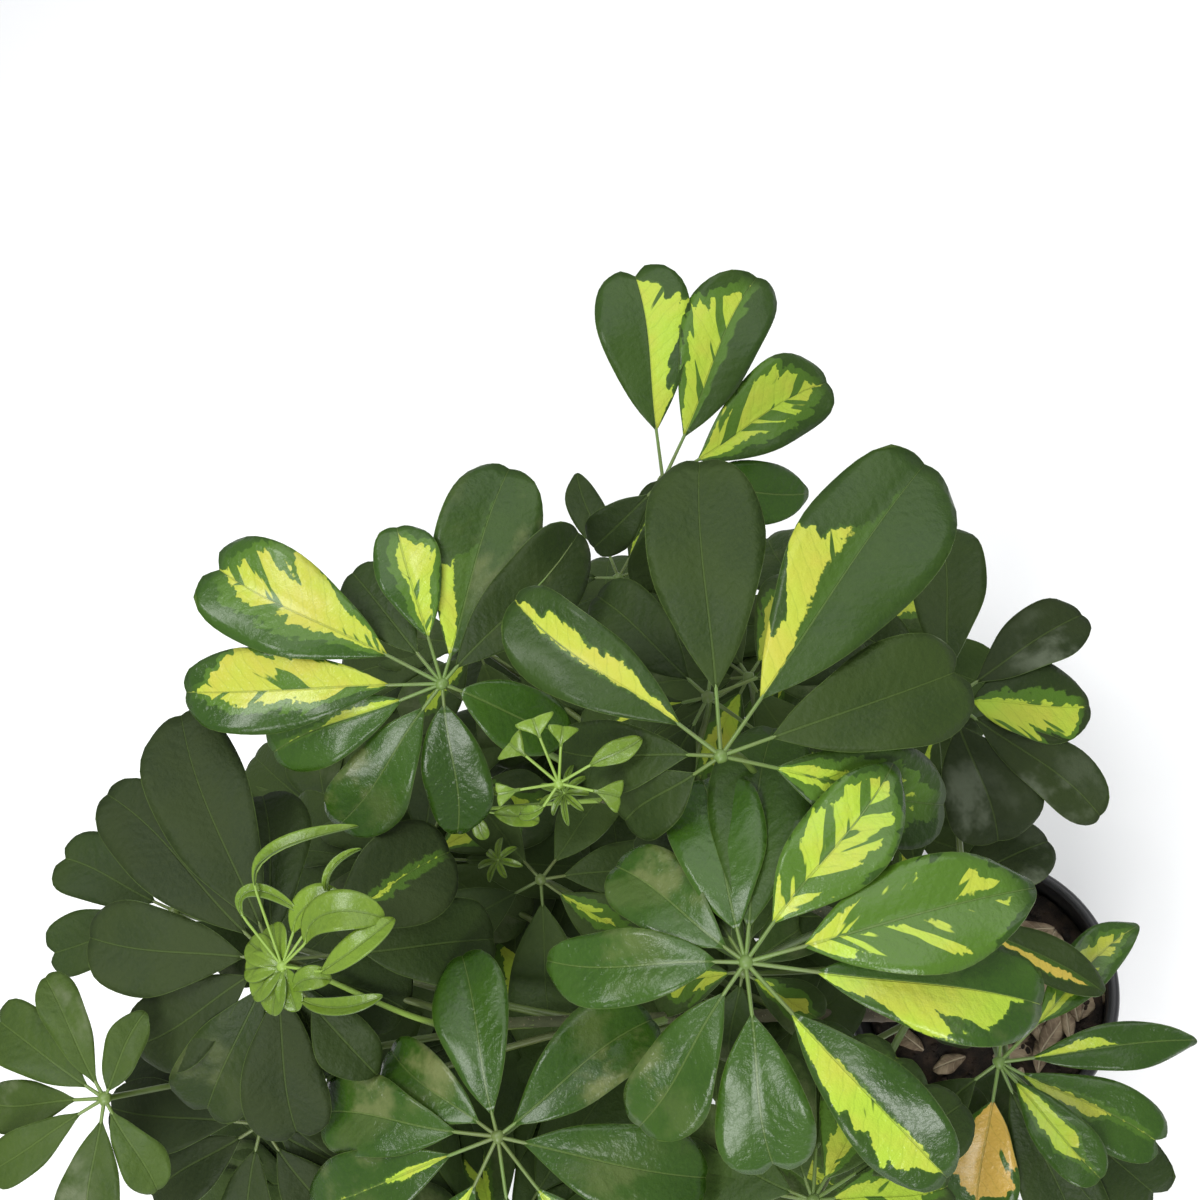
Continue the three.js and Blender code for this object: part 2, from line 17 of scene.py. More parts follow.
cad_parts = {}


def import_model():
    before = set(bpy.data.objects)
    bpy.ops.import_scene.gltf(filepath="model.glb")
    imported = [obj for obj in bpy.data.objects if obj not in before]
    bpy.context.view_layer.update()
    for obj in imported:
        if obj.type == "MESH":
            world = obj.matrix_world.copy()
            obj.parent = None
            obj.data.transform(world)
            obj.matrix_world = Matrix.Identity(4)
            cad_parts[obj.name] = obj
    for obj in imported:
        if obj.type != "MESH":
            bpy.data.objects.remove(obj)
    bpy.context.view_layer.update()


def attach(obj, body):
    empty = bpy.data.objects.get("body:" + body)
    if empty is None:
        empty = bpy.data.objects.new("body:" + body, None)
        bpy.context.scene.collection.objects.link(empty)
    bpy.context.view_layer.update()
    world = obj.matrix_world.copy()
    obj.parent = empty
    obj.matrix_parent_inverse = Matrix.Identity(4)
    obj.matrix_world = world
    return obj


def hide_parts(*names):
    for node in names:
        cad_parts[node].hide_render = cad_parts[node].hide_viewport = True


MM = 0.001
UP = Vector((0, 0, 1))
Place = tuple[float, float, float]
Run = list[tuple[Vector, float]]
Piece = bpy.types.Object
Material = bpy.types.Material
log = logging.getLogger("umbrella_plant")


class Tip(Enum):
    """Shapes of a leaflet's outline, as (place of the widest point, bluntness, notch depth)."""

    ROUND = (0.66, 0.46, 0.012)
    NOTCHED = (0.70, 0.37, 0.06)
    OVAL = (0.56, 0.60, 0.004)
    POINTED = (0.55, 0.78, 0.0)
    FAN = (0.9, 0.16, 0.05)


class Tone(Enum):
    """A leaf's colour, as (freshness, limeness, greyness, lightness)."""

    FRONT = (1.0, 0.0, 0.0, 1.0)
    UPPER = (0.55, 0.0, 0.0, 1.0)
    DARK = (0.12, 0.0, 0.1, 1.0)
    SLATE = (0.05, 0.0, 0.7, 0.9)
    SAGE = (0.25, 0.0, 0.5, 1.15)
    # Painted light: LOW and INNER leaves, deep in the crown, are made lighter to make up for the shade
    # they lie in.
    LOW = (0.25, 0.0, 0.15, 1.3)
    INNER = (0.1, 0.0, 0.4, 1.5)
    OLIVE = (0.4, 0.14, 0.45, 1.12)
    LIME = (0.8, 1.0, 0.0, 1.0)


@dataclass(frozen=True)
class Paint:
    """How one leaflet is marked.

    Left and right say how far the bright patch reaches from the midrib on each half, seen from the hub.
    Reach says how far it runs towards the tip, inner where it leaves the midrib, middle how much
    half-bright green goes with it, khaki how strong its khaki patches are, which grey leaves show as a
    painted sheen, and tan how brown its bright parts are.
    """

    left: float = 0.0
    right: float = 0.0
    reach: float = 0.9
    inner: float = 0.0
    middle: float = 0.0
    khaki: float = 0.0
    tan: float = 0.0


@dataclass(frozen=True)
class Leaflet:
    """One leaflet in its leaf's plane: angles in degrees and lengths in millimetres."""

    azimuth: float
    droop: float
    stalk: float
    length: float
    width: float
    lean: float = 0.0
    tip: Tip = Tip.ROUND
    paint: Paint = Paint()
    tone: Tone | None = None


@dataclass(frozen=True)
class Ridge:
    """The stalk's thinning run under a midrib, from just past the blade's foot almost to its tip."""

    foot: float = 0.02
    reach: float = 0.9
    steps: int = 8
    fall: float = 0.85
    power: float = 0.8
    least: float = 0.15

    def shares(self) -> list[tuple[float, float]]:
        """Returns shares of the midrib, each with the share of the radius that is left there."""
        along = [self.foot + self.reach * i / (self.steps - 1) for i in range(self.steps)]
        return [(share, self.fall * (1 - share) ** self.power + self.least) for share in along]


RIDGE = Ridge()


def bezier(points: list[Vector], share: float) -> Vector:
    """Works out a place on a cubic curve.

    Args:
        points: the curve's four points.
        share: a share of its parameter.

    Returns:
        The place.
    """
    a, b, c, d = points
    rest = 1 - share
    return a * rest**3 + b * (3 * rest**2 * share) + c * (3 * rest * share**2) + d * share**3


def bezier_tangent(points: list[Vector], share: float) -> Vector:
    """Works out the direction of a cubic curve.

    Args:
        points: the curve's four points.
        share: a share of its parameter.

    Returns:
        The direction.
    """
    a, b, c, d = points
    rest = 1 - share
    return ((b - a) * rest**2 + (c - b) * (2 * rest * share) + (d - c) * share**2).normalized()


@dataclass(frozen=True)
class SoftBlade:
    """A young leaflet that bends freely on a thin stalk.

    Path holds the four points of its midrib's curve in millimetres. Fold says how far its halves stand up
    and roll how far it is turned about its midrib, in degrees. Root is where its stalk starts: its leaf's
    hub, unless it is given.
    """

    path: tuple[Place, ...]
    width: float
    fold: float = 14.0
    roll: float = 0.0
    tip: Tip = Tip.OVAL
    root: Place | None = None
    tone: Tone = Tone.LIME
    paint: Paint = Paint()

    @staticmethod
    def arched(start: Place, end: Place, rise: float, width: float, **rest: object) -> "SoftBlade":
        """Makes a blade between two points.

        Args:
            start: where it starts.
            end: where it ends.
            rise: how far it arches up between them.
            width: its width.
            rest: its other values.

        Returns:
            The blade.
        """
        a, b, up = Vector(start), Vector(end), Vector((0, 0, rise))
        path = (a, a.lerp(b, 0.33) + up, a.lerp(b, 0.67) + up, b)
        return SoftBlade(tuple(tuple(point) for point in path), width, **rest)

    def leaflet(self) -> Leaflet:
        """Makes the flat leaflet with this one's size, paint and tone.

        Returns:
            The leaflet.
        """
        points = [Vector(p) for p in self.path]
        length = sum((b - a).length for a, b in zip(points, points[1:]))
        return Leaflet(0, 0, 0, length, self.width, 0, self.tip, self.paint, self.tone)

    def stalk_run(self, hub: Place, radius: float) -> Run:
        """Works out its stalk, which runs on under its midrib.

        Args:
            hub: its leaf's hub in millimetres.
            radius: the stalk's radius in millimetres.

        Returns:
            Its points in metres with the radius at each.
        """
        curve = [Vector(p) for p in self.path]
        start = Vector(self.root or hub)
        run = [(start.lerp(curve[0], share), radius) for share in (0.0, 0.45, 0.9) if start != curve[0]]
        for share, thinness in RIDGE.shares():
            thin = radius * thinness
            run.append((bezier(curve, share) - Vector((0, 0, 0.6 * thin)), thin))
        return [(place * MM, thin * MM) for place, thin in run]


@dataclass(frozen=True)
class BladeForm:
    """The arch, fold and thickness that every blade shares, in degrees and millimetres.

    Lop, wobble and skew are the shares by which its halves, its outline and its tip differ from an even
    blade, and sway is how far its midrib bows sideways. Ripples and waves count the waves of its outline
    and of its margin. The phases turn a blade's seed into a number of its own for each of these.
    """

    arch: float = 26.0
    fold: float = 13.0
    rise_share: float = 0.36
    camber: float = 0.13
    thickness: float = 0.5
    stalk_radius: float = 0.85
    shoulder: float = 0.95
    notch_width: float = 0.24
    wave: float = 0.024
    lop: float = 0.06
    wobble: float = 0.035
    skew: float = 0.02
    sway: float = 0.045
    ripples: float = 1.5
    waves: float = 1.6
    lop_phase: float = 3.1
    wobble_phase: float = 5.0
    skew_phase: float = 14.4
    sway_phase: float = 1.7
    across: int = 10
    along: int = 18


@dataclass(frozen=True)
class Colour:
    """A colour given as a photograph shows it, from 0 to 255."""

    red: float
    green: float
    blue: float

    def linear(self) -> tuple[float, float, float, float]:
        """Returns the colour as a shader takes it."""
        parts = [c / 255 for c in (self.red, self.green, self.blue)]
        return (*[p / 12.92 if p <= 0.04045 else ((p + 0.055) / 1.055) ** 2.4 for p in parts], 1.0)


class Signal:
    """A node's output that is reckoned with like a number."""

    def __init__(self, graph: "Graph", socket: bpy.types.NodeSocket) -> None:
        """Keeps the graph and the output."""
        self.graph, self.socket = graph, socket

    def __add__(self, other: "Signal | float") -> "Signal":
        """Returns the sum."""
        return self.graph.math("ADD", self, other)

    def __sub__(self, other: "Signal | float") -> "Signal":
        """Returns the difference."""
        return self.graph.math("SUBTRACT", self, other)

    def __rsub__(self, other: float) -> "Signal":
        """Returns a number less this output."""
        return self.graph.math("SUBTRACT", other, self)

    def __mul__(self, other: "Signal | float") -> "Signal":
        """Returns the product."""
        return self.graph.math("MULTIPLY", self, other)

    def __truediv__(self, other: "Signal | float") -> "Signal":
        """Returns the quotient."""
        return self.graph.math("DIVIDE", self, other)

    def __abs__(self) -> "Signal":
        """Returns the size without its sign."""
        return self.graph.math("ABSOLUTE", self)

    def ramp(self, low: "Signal | float", high: "Signal | float") -> "Signal":
        """Returns a smooth step, 0 at the low value and 1 at the high one."""
        inputs = {"Value": self, "From Min": low, "From Max": high}
        return self.graph.wire("ShaderNodeMapRange", inputs, interpolation_type="SMOOTHSTEP")


class Graph:
    """A node tree with short ways to add and join its nodes."""

    def __init__(self, tree: bpy.types.NodeTree) -> None:
        """Keeps the tree and empties it."""
        self.tree = tree
        tree.nodes.clear()

    def node(self, kind: str, **values: object) -> bpy.types.Node:
        """Adds a node.

        Args:
            kind: the node's type name.
            values: its properties.

        Returns:
            The new node.
        """
        made = self.tree.nodes.new(kind)
        for name, value in values.items():
            setattr(made, name, value)
        return made

    def feed(self, socket: bpy.types.NodeSocket, value: object) -> None:
        """Joins a socket to an output, or sets its value.

        Args:
            socket: the input to feed.
            value: an output, a number or a colour.
        """
        if isinstance(value, Signal):
            self.tree.links.new(value.socket, socket)
        else:
            socket.default_value = value.linear() if isinstance(value, Colour) else value

    def wire(
        self, kind: str, inputs: dict[int | str, object], output: int | str = 0, **values: object,
    ) -> Signal:
        """Adds a node and feeds it.

        Args:
            kind: the node's type name.
            inputs: what feeds its inputs, by number or name.
            output: the number or name of the output that is wanted.
            values: its properties.

        Returns:
            The output.
        """
        made = self.node(kind, **values)
        for name, value in inputs.items():
            self.feed(made.inputs[name], value)
        return Signal(self, made.outputs[output])

    def math(self, operation: str, *inputs: object) -> Signal:
        """Returns the result of a Math node."""
        return self.wire("ShaderNodeMath", dict(enumerate(inputs)), operation=operation)

    def mix(self, share: object, first: object, second: object, blend: str = "MIX") -> Signal:
        """Returns a mix of two colours, with this share of the second."""
        inputs = {0: share, 6: first, 7: second}
        return self.wire("ShaderNodeMix", inputs, 2, data_type="RGBA", blend_type=blend)

    def noise(self, place: Signal, scale: float, detail: float = 2.0, rough: float = 0.5) -> Signal:
        """Returns a noise from 0 to 1, with its fineness, its count of finer layers and their strength."""
        inputs = {"Vector": place, "Scale": scale, "Detail": detail, "Roughness": rough}
        return self.wire("ShaderNodeTexNoise", inputs)

    def scale(self, colour: Signal, share: Signal) -> Signal:
        """Returns a colour or vector made larger or smaller by a factor."""
        return self.wire("ShaderNodeVectorMath", {0: colour, "Scale": share}, operation="SCALE")

    def join(self, x: object, y: object, z: object) -> Signal:
        """Returns a vector of three values."""
        return self.wire("ShaderNodeCombineXYZ", {0: x, 1: y, 2: z})

    def split(self, vector: Signal) -> list[Signal]:
        """Returns the three parts of a vector."""
        first = self.wire("ShaderNodeSeparateXYZ", {0: vector})
        return [Signal(self, part) for part in first.socket.node.outputs]

    def attribute(self, name: str) -> list[Signal]:
        """Returns the four numbers that a mesh keeps under a name."""
        made = self.node("ShaderNodeAttribute", attribute_name=name)
        return [*self.split(Signal(self, made.outputs["Vector"])), Signal(self, made.outputs["Alpha"])]

    def group(self, tree: bpy.types.NodeTree, **inputs: object) -> list[Signal]:
        """Returns the outputs of a node group, fed by its inputs' names."""
        first = self.wire("ShaderNodeGroup", inputs, node_tree=tree)
        return [Signal(self, output) for output in first.socket.node.outputs]


class Group(Graph):
    """A shader node group with named inputs and outputs."""

    def __init__(self, name: str, inputs: dict[str, float | None], outputs: tuple[str, ...]) -> None:
        """Starts the group.

        Args:
            name: the group's name.
            inputs: each input's name with its value, or None for a vector.
            outputs: the outputs' names.
        """
        super().__init__(bpy.data.node_groups.new(name, "ShaderNodeTree"))
        for label, value in inputs.items():
            kind = "NodeSocketVector" if value is None else "NodeSocketFloat"
            socket = self.tree.interface.new_socket(label, in_out="INPUT", socket_type=kind)
            if value is not None:
                socket.default_value = value
        for label in outputs:
            self.tree.interface.new_socket(label, in_out="OUTPUT", socket_type="NodeSocketFloat")
        self.given = [Signal(self, each) for each in self.node("NodeGroupInput").outputs[:len(inputs)]]

    def finish(self, *results: Signal) -> bpy.types.NodeTree:
        """Joins the results to the group's outputs.

        Args:
            results: what the group puts out, in the outputs' order.

        Returns:
            The group's tree.
        """
        for socket, value in zip(self.node("NodeGroupOutput").inputs, results):
            self.feed(socket, value)
        return self.tree


def vein_group() -> bpy.types.NodeTree:
    """Builds the group that draws a midrib and its side veins, spaced and sloped in millimetres.

    Returns:
        The group's tree.
    """
    inputs = {"Across": 0.0, "Along": 0.0, "Spacing": 6.5, "Slope": 0.75}
    graph = Group("Leaf veins", inputs, ("Veins", "Midrib", "Relief"))
    across, along, spacing, slope = graph.given
    away = abs(across)
    side = graph.math("GREATER_THAN", across, 0.0) * 2.9
    wander = graph.noise(graph.join(across, along, 0.0), 0.12, 1.0)
    course = along - away * slope + (side + wander * 5.0)
    off = abs(graph.math("FRACT", course / spacing) - 0.5)
    thin = 0.75 - along * 0.004
    midrib = 1.0 - away.ramp(thin * 0.45, thin)
    relief = off.ramp(0.5, 0.0) * 0.28 - midrib * 0.9
    return graph.finish(off.ramp(0.41, 0.49), midrib, relief)


def patch_group() -> bpy.types.NodeTree:
    """Builds the group that marks a blade's bright and half-bright patches.

    Each half's patch has an edge that swings in broad fingers and fine crumbs along its side veins, starts
    away from the midrib where it is told to, and is broken by green islands.

    Returns:
        The group's tree.
    """
    zeros = ("Side", "Share", "Across", "Along", "Left", "Right", "Reach", "Inner", "Middle", "Seed")
    graph = Group("Leaf patches", dict.fromkeys(zeros, 0.0) | {"Reach": 0.9}, ("Bright", "Half"))
    side, share, across, along, left, right, reach, inner, middle, seed = graph.given
    away = abs(side)
    hand = graph.math("GREATER_THAN", side, 0.0)
    amount = right * hand + left * (1.0 - hand)
    some = graph.math("GREATER_THAN", amount, 0.02)
    shift = seed * 37.0 + hand * 9.3
    course = along - abs(across) * 1.3
    broad = graph.noise(graph.join(course, shift, 0.0), 0.06, 1.0)
    fingers = graph.noise(graph.join(course, away * 9.0, shift), 0.15, 1.4, 0.5)
    crumble = (graph.noise(graph.join(across, along, shift), 0.3, 2.4, 0.55) - 0.5) * 0.34
    swing = (broad - 0.5) * 1.5 + (fingers - 0.5) * 1.1
    edge = amount * share.ramp(reach, reach - 0.26) * (swing + 1.05) + crumble
    start = inner * share.ramp(0.0, 0.45)
    kept = (away - crumble * start.ramp(0.0, 0.1) - start).ramp(-0.05, 0.0)
    island = graph.noise(graph.join(abs(across) * 0.45, course, shift), 0.085, 2.2, 0.52)
    broken = 0.68 - middle * 0.27
    whole = 1.0 - island.ramp(broken, broken + 0.02)
    bright = (edge - away).ramp(0.0, 0.035) * kept * (whole * some)
    soft = (edge + 0.07) * some + middle * (fingers * 0.9 + 0.1)
    half = (soft - away).ramp(0.0, 0.06) * share.ramp(1.0, 0.86)
    half = half * graph.math("MAXIMUM", some * 0.45, middle.ramp(0.0, 0.3))
    return graph.finish(bright, half)


def mottle_group() -> bpy.types.NodeTree:
    """Builds the group for uneven colour and fine grain over a surface.

    Returns:
        The group's tree.
    """
    graph = Group("Mottle", {"Place": None, "Size": 30.0}, ("Cloud", "Grain"))
    sized = graph.scale(*graph.given)
    return graph.finish(graph.noise(sized, 1.0, 3.0, 0.55), graph.noise(sized, 22.0, 2.0, 0.6))


@dataclass
class Effects:
    """The node groups that the materials share."""

    veins: bpy.types.NodeTree = field(default_factory=vein_group)
    patches: bpy.types.NodeTree = field(default_factory=patch_group)
    mottle: bpy.types.NodeTree = field(default_factory=mottle_group)


class Surface(Graph):
    """A material's graph round one Principled shader."""

    def __init__(self, name: str) -> None:
        """Starts the material.

        Args:
            name: the material's name.
        """
        self.material = bpy.data.materials.new(name)
        self.material.use_nodes = True
        super().__init__(self.material.node_tree)
        self.shader = self.node("ShaderNodeBsdfPrincipled")
        output = self.node("ShaderNodeOutputMaterial")
        self.feed(output.inputs["Surface"], Signal(self, self.shader.outputs[0]))

    @cached_property
    def place(self) -> Signal:
        """The place on the object."""
        return Signal(self, self.node("ShaderNodeTexCoord").outputs["Object"])

    def mottle(self, effects: Effects, size: float) -> list[Signal]:
        """Returns the mottle's cloud and grain at a fineness."""
        return self.group(effects.mottle, Place=self.place, Size=size)

    def finish(
        self, colour: object, roughness: object, relief: Signal | None = None, depth: float = 0.0,
        strength: float = 1.0,
    ) -> Material:
        """Feeds the shader.

        Args:
            colour: the surface's colour.
            roughness: how matt it is.
            relief: its bumps, if it has any.
            depth: their depth in metres.
            strength: how much of them shows.

        Returns:
            The material.
        """
        self.feed(self.shader.inputs["Base Color"], colour)
        self.feed(self.shader.inputs["Roughness"], roughness)
        if relief is not None:
            bump = self.wire("ShaderNodeBump", {"Strength": strength, "Distance": depth, "Height": relief})
            self.feed(self.shader.inputs["Normal"], bump)
        return self.material


@dataclass(frozen=True)
class Finish:
    """A finish that draws on the shared node groups."""

    effects: Effects


@dataclass(frozen=True)
class LeafFinish(Finish):
    """Waxy leaf skin, with patches, veins, a painted sheen on grey leaves and a pale line at its margin.
    """

    deep: Colour = Colour(35, 49, 17)
    fresh: Colour = Colour(40, 67, 16)
    slate: Colour = Colour(37, 49, 22)
    lime: Colour = Colour(86, 112, 34)
    bright: Colour = Colour(150, 176, 52)
    pale: Colour = Colour(162, 168, 58)
    half: Colour = Colour(68, 99, 28)
    khaki: Colour = Colour(98, 106, 62)
    # Painted sheen: a greyish colour that stands in for the soft highlights on dark grey leaves.
    painted_sheen: Colour = Colour(92, 100, 90)
    tan: Colour = Colour(186, 148, 72)
    rib: Colour = Colour(84, 104, 48)
    under: Colour = Colour(92, 110, 62)
    lighter: tuple[float, float, float, float] = (1.5, 1.34, 1.25, 1.0)
    gloss: float = 0.5
    specular: float = 0.17
    coat: float = 0.26
    coat_roughness: float = 0.2
    margin: float = 0.34
    bump_depth: float = 0.0004
    bump_strength: float = 0.8

    def top(self) -> Material:
        """Builds the upper skin.

        Returns:
            The material.
        """
        skin = Surface("Leaf upper skin")
        across, along, margin, _ = skin.attribute("place")
        left, right, reach, inner = skin.attribute("paint")
        middle, khaki, tan, seed = skin.attribute("wear_and_sheen")
        fresh, lime, grey, lightness = skin.attribute("tone")
        own = skin.math("FRACT", seed * 7.3)
        u, v, _ = skin.split(Signal(skin, skin.node("ShaderNodeUVMap", uv_map="UVMap").outputs[0]))
        side = u * 2.0 - 1.0
        cloud, grain = skin.mottle(self.effects, 34.0)
        veins, midrib, relief = skin.group(self.effects.veins, Across=across, Along=along)
        bright, half = skin.group(
            self.effects.patches, Side=side, Share=v, Across=across, Along=along, Left=left, Right=right,
            Reach=reach, Inner=inner, Middle=middle, Seed=seed,
        )
        base = skin.mix(grey, skin.mix(fresh, self.deep, self.fresh), self.slate)
        base = skin.scale(skin.mix(lime, base, self.lime), (own * 0.3 + 0.85) * lightness)
        lighter = skin.mix(1.0, base, self.lighter, "MULTIPLY")
        for share in (cloud.ramp(0.38, 0.62) * 0.55, grain.ramp(0.35, 0.75) * 0.45, veins * 0.2):
            base = skin.mix(share, base, lighter)
        # Khaki patches, which on grey leaves become a painted sheen in place of their highlights.
        khaki_and_sheen = skin.noise(skin.join(across, along * 0.8, seed * 31.0), 0.042, 4.0, 0.58)
        khaki_and_sheen = khaki_and_sheen.ramp(0.5, 0.68) * v.ramp(0.1, 0.5)
        one_half = side.ramp(-0.03, 0.03) * 0.7 + 0.3
        base = skin.mix(khaki_and_sheen * one_half * khaki, base, skin.mix(grey, self.khaki, self.painted_sheen))
        base = skin.mix(half, base, self.half)
        glow = skin.mix(tan, skin.mix(cloud.ramp(0.35, 0.7), self.bright, self.pale), self.tan)
        base = skin.mix(bright, base, skin.mix(veins * 0.15, glow, self.half))
        base = skin.mix(midrib * (fresh * 0.3 + 0.25 - bright * 0.25), base, self.rib)
        base = skin.mix((1.0 - margin.ramp(self.margin * 0.4, self.margin)) * 0.5, base, self.rib)
        waxy = fresh.ramp(0.2, 1.0) * (1.0 - grey)
        rough = (cloud - 0.5) * 0.3 + grey * 0.16 - waxy * 0.24
        skin.shader.inputs["Specular IOR Level"].default_value = self.specular
        skin.shader.inputs["Coat Roughness"].default_value = self.coat_roughness
        skin.feed(skin.shader.inputs["Coat Weight"], waxy * self.coat)
        quilt = skin.noise(skin.join(across, along, seed), 0.34, 2.0, 0.55)
        relief = relief + cloud * 1.6 + quilt * 1.7 + grain * 0.6
        return skin.finish(base, rough + self.gloss, relief, self.bump_depth, self.bump_strength)

    def underside(self) -> Material:
        """Builds the paler lower skin.

        Returns:
            The material.
        """
        skin = Surface("Leaf lower skin")
        across, along, _, _ = skin.attribute("place")
        fresh, lime, grey, _ = skin.attribute("tone")
        cloud, _ = skin.mottle(self.effects, 26.0)
        veins, midrib, relief = skin.group(self.effects.veins, Across=across, Along=along)
        base = skin.mix(0.55, skin.mix(fresh, self.deep, self.fresh), self.under)
        ribs = skin.math("MAXIMUM", veins * 0.4, midrib)
        for share, colour in (
            (grey * 0.7, self.slate), (lime * 0.8, self.lime), (cloud * 0.3, self.khaki),
            (ribs * 0.5, self.rib),
        ):
            base = skin.mix(share, base, colour)
        return skin.finish(base, 0.55, relief * -1.0, 0.0005, 0.8)

    def edge(self) -> Material:
        """Builds the thin cut edge between the two skins.

        Returns:
            The material.
        """
        skin = Surface("Leaf margin")
        cloud, _ = skin.mottle(self.effects, 60.0)
        return skin.finish(skin.mix(cloud, self.fresh, self.rib), 0.5)


@dataclass(frozen=True)
class StalkFinish(Finish):
    """Smooth green leaf stalks, browner where they are old."""

    green: Colour = Colour(90, 116, 50)
    lime: Colour = Colour(122, 150, 60)
    brown: Colour = Colour(84, 84, 46)

    def material(self) -> Material:
        """Builds the stalks' skin.

        Returns:
            The material.
        """
        skin = Surface("Leaf stalk")
        _, lime, grey, _ = skin.attribute("tone")
        cloud, grain = skin.mottle(self.effects, 55.0)
        base = skin.mix(cloud.ramp(0.35, 0.7) * 0.5, self.green, self.brown)
        base = skin.mix(lime, skin.mix(grey * 0.6, base, self.brown), self.lime)
        return skin.finish(base, 0.42, grain, 0.0002, 0.5)


@dataclass(frozen=True)
class BarkFinish(Finish):
    """Grey-green bark with small pale pores."""

    young: Colour = Colour(78, 86, 50)
    old: Colour = Colour(96, 84, 66)
    pore: Colour = Colour(140, 128, 100)
    shade: tuple[float, float, float, float] = (0.6, 0.6, 0.58, 1.0)

    def material(self) -> Material:
        """Builds the stems' bark.

        Returns:
            The material.
        """
        skin = Surface("Stem bark")
        height = skin.split(skin.place)[2]
        cloud, grain = skin.mottle(self.effects, 70.0)
        base = skin.mix(height.ramp(0.16, 0.3), self.old, self.young)
        base = skin.mix(cloud.ramp(0.35, 0.65), base, skin.mix(1.0, base, self.shade, "MULTIPLY"))
        pores = skin.wire("ShaderNodeTexVoronoi", {"Vector": skin.place, "Scale": 420.0}, "Distance")
        spots = 1.0 - pores.ramp(0.12, 0.24)
        return skin.finish(skin.mix(spots * 0.7, base, self.pore), 0.75, grain + spots * 0.8, 0.0005, 0.8)


@dataclass(frozen=True)
class SoilFinish(Finish):
    """Dark red-brown compost with paler fibres."""

    dark: Colour = Colour(34, 28, 24)
    warm: Colour = Colour(70, 55, 44)
    fibre: Colour = Colour(122, 106, 86)

    def material(self) -> Material:
        """Builds the compost.

        Returns:
            The material.
        """
        skin = Surface("Compost")
        cloud, grain = skin.mottle(self.effects, 130.0)
        base = skin.mix(cloud.ramp(0.35, 0.7), self.dark, self.warm)
        base = skin.mix(grain.ramp(0.62, 0.7) * 0.6, base, self.fibre)
        return skin.finish(base, 0.95, cloud + grain * 0.5, 0.002)


@dataclass(frozen=True)
class LitterFinish(Finish):
    """Dry fallen leaves, tan with darker veins and spots."""

    tan: Colour = Colour(160, 142, 116)
    dark: Colour = Colour(112, 94, 74)
    pale: Colour = Colour(196, 180, 152)

    def material(self) -> Material:
        """Builds the dry leaves' skin.

        Returns:
            The material.
        """
        skin = Surface("Dry leaf")
        across, along, _, _ = skin.attribute("place")
        cloud, _ = skin.mottle(self.effects, 90.0)
        veins, midrib, relief = skin.group(self.effects.veins, Across=across, Along=along, Spacing=4.0)
        base = skin.mix(cloud.ramp(0.35, 0.65), self.tan, self.dark)
        base = skin.mix(veins * 0.3, skin.mix(midrib * 0.8, base, self.pale), self.pale)
        return skin.finish(base, 0.8, relief, 0.0006)


@dataclass(frozen=True)
class PlasticFinish(Finish):
    """Black moulded plastic with a fine texture, dusty near its rim."""

    black: Colour = Colour(38, 38, 40)
    dust: Colour = Colour(112, 104, 96)
    roughness: float = 0.42

    def material(self) -> Material:
        """Builds the pot's plastic.

        Returns:
            The material.
        """
        skin = Surface("Pot plastic")
        height = skin.split(skin.place)[2]
        cloud, grain = skin.mottle(self.effects, 45.0)
        dusty = cloud.ramp(0.48, 0.75) * height.ramp(0.06, 0.13)
        base = skin.mix(dusty * 0.28, self.black, self.dust)
        return skin.finish(base, (cloud - 0.5) * 0.25 + self.roughness, grain, 0.0001, 0.5)


class Finishes:
    """Every material of the plant, built once."""

    def __init__(self, effects: Effects) -> None:
        """Builds the materials.

        Args:
            effects: the node groups that they share.
        """
        leaf = LeafFinish(effects)
        self.leaf = (leaf.top(), leaf.underside(), leaf.edge())
        self.stalk = StalkFinish(effects).material()
        self.bark = BarkFinish(effects).material()
        self.soil = SoilFinish(effects).material()
        self.litter = LitterFinish(effects).material()
        self.plastic = PlasticFinish(effects).material()


def deselect() -> None:
    """Deselects every object."""
    for chosen in list(bpy.context.selected_objects):
        chosen.select_set(False)


def select_only(*objects: Piece) -> None:
    """Selects objects and no others.

    Args:
        objects: the objects, the first of which becomes active.
    """
    deselect()
    for each in objects:
        each.select_set(True)
    bpy.context.view_layer.objects.active = objects[0]


def join(pieces: list[Piece], name: str) -> Piece:
    """Joins objects into one.

    Args:
        pieces: the objects, the first of which stays.
        name: the joined object's name.

    Returns:
        The joined object.
    """
    select_only(*pieces)
    if len(pieces) > 1:
        bpy.ops.object.join()
    pieces[0].name = pieces[0].data.name = name
    return pieces[0]


def place_mesh(name: str, mesh: bpy.types.Mesh) -> Piece:
    """Puts a mesh into the scene.

    Args:
        name: the object's name.
        mesh: its mesh.

    Returns:
        The object.
    """
    piece = bpy.data.objects.new(name, mesh)
    bpy.context.collection.objects.link(piece)
    return piece


def from_points(
    name: str, points: list[Vector], edges: list[tuple], faces: list[tuple], *coats: Material,
) -> Piece:
    """Builds an object from its points.

    Args:
        name: the object's name.
        points: its points in metres.
        edges: its loose edges.
        faces: its faces.
        coats: its materials.

    Returns:
        The object.
    """
    mesh = bpy.data.meshes.new(name)
    mesh.from_pydata(points, edges, faces)
    piece = place_mesh(name, mesh)
    coat(piece, *coats)
    return piece


def coat(piece: Piece, *materials: Material) -> None:
    """Gives an object these materials alone.

    Args:
        piece: the object.
        materials: its materials, in the order of its slots.
    """
    piece.data.materials.clear()
    for material in materials:
        piece.data.materials.append(material)


def apply_modifier(piece: Piece, kind: str, **values: object) -> None:
    """Adds a modifier and applies it.

    Args:
        piece: the object.
        kind: the modifier's type.
        values: its settings.
    """
    select_only(piece)
    modifier = piece.modifiers.new(kind.title(), kind)
    for name, value in values.items():
        setattr(modifier, name, value)
    bpy.ops.object.modifier_apply(modifier=modifier.name)


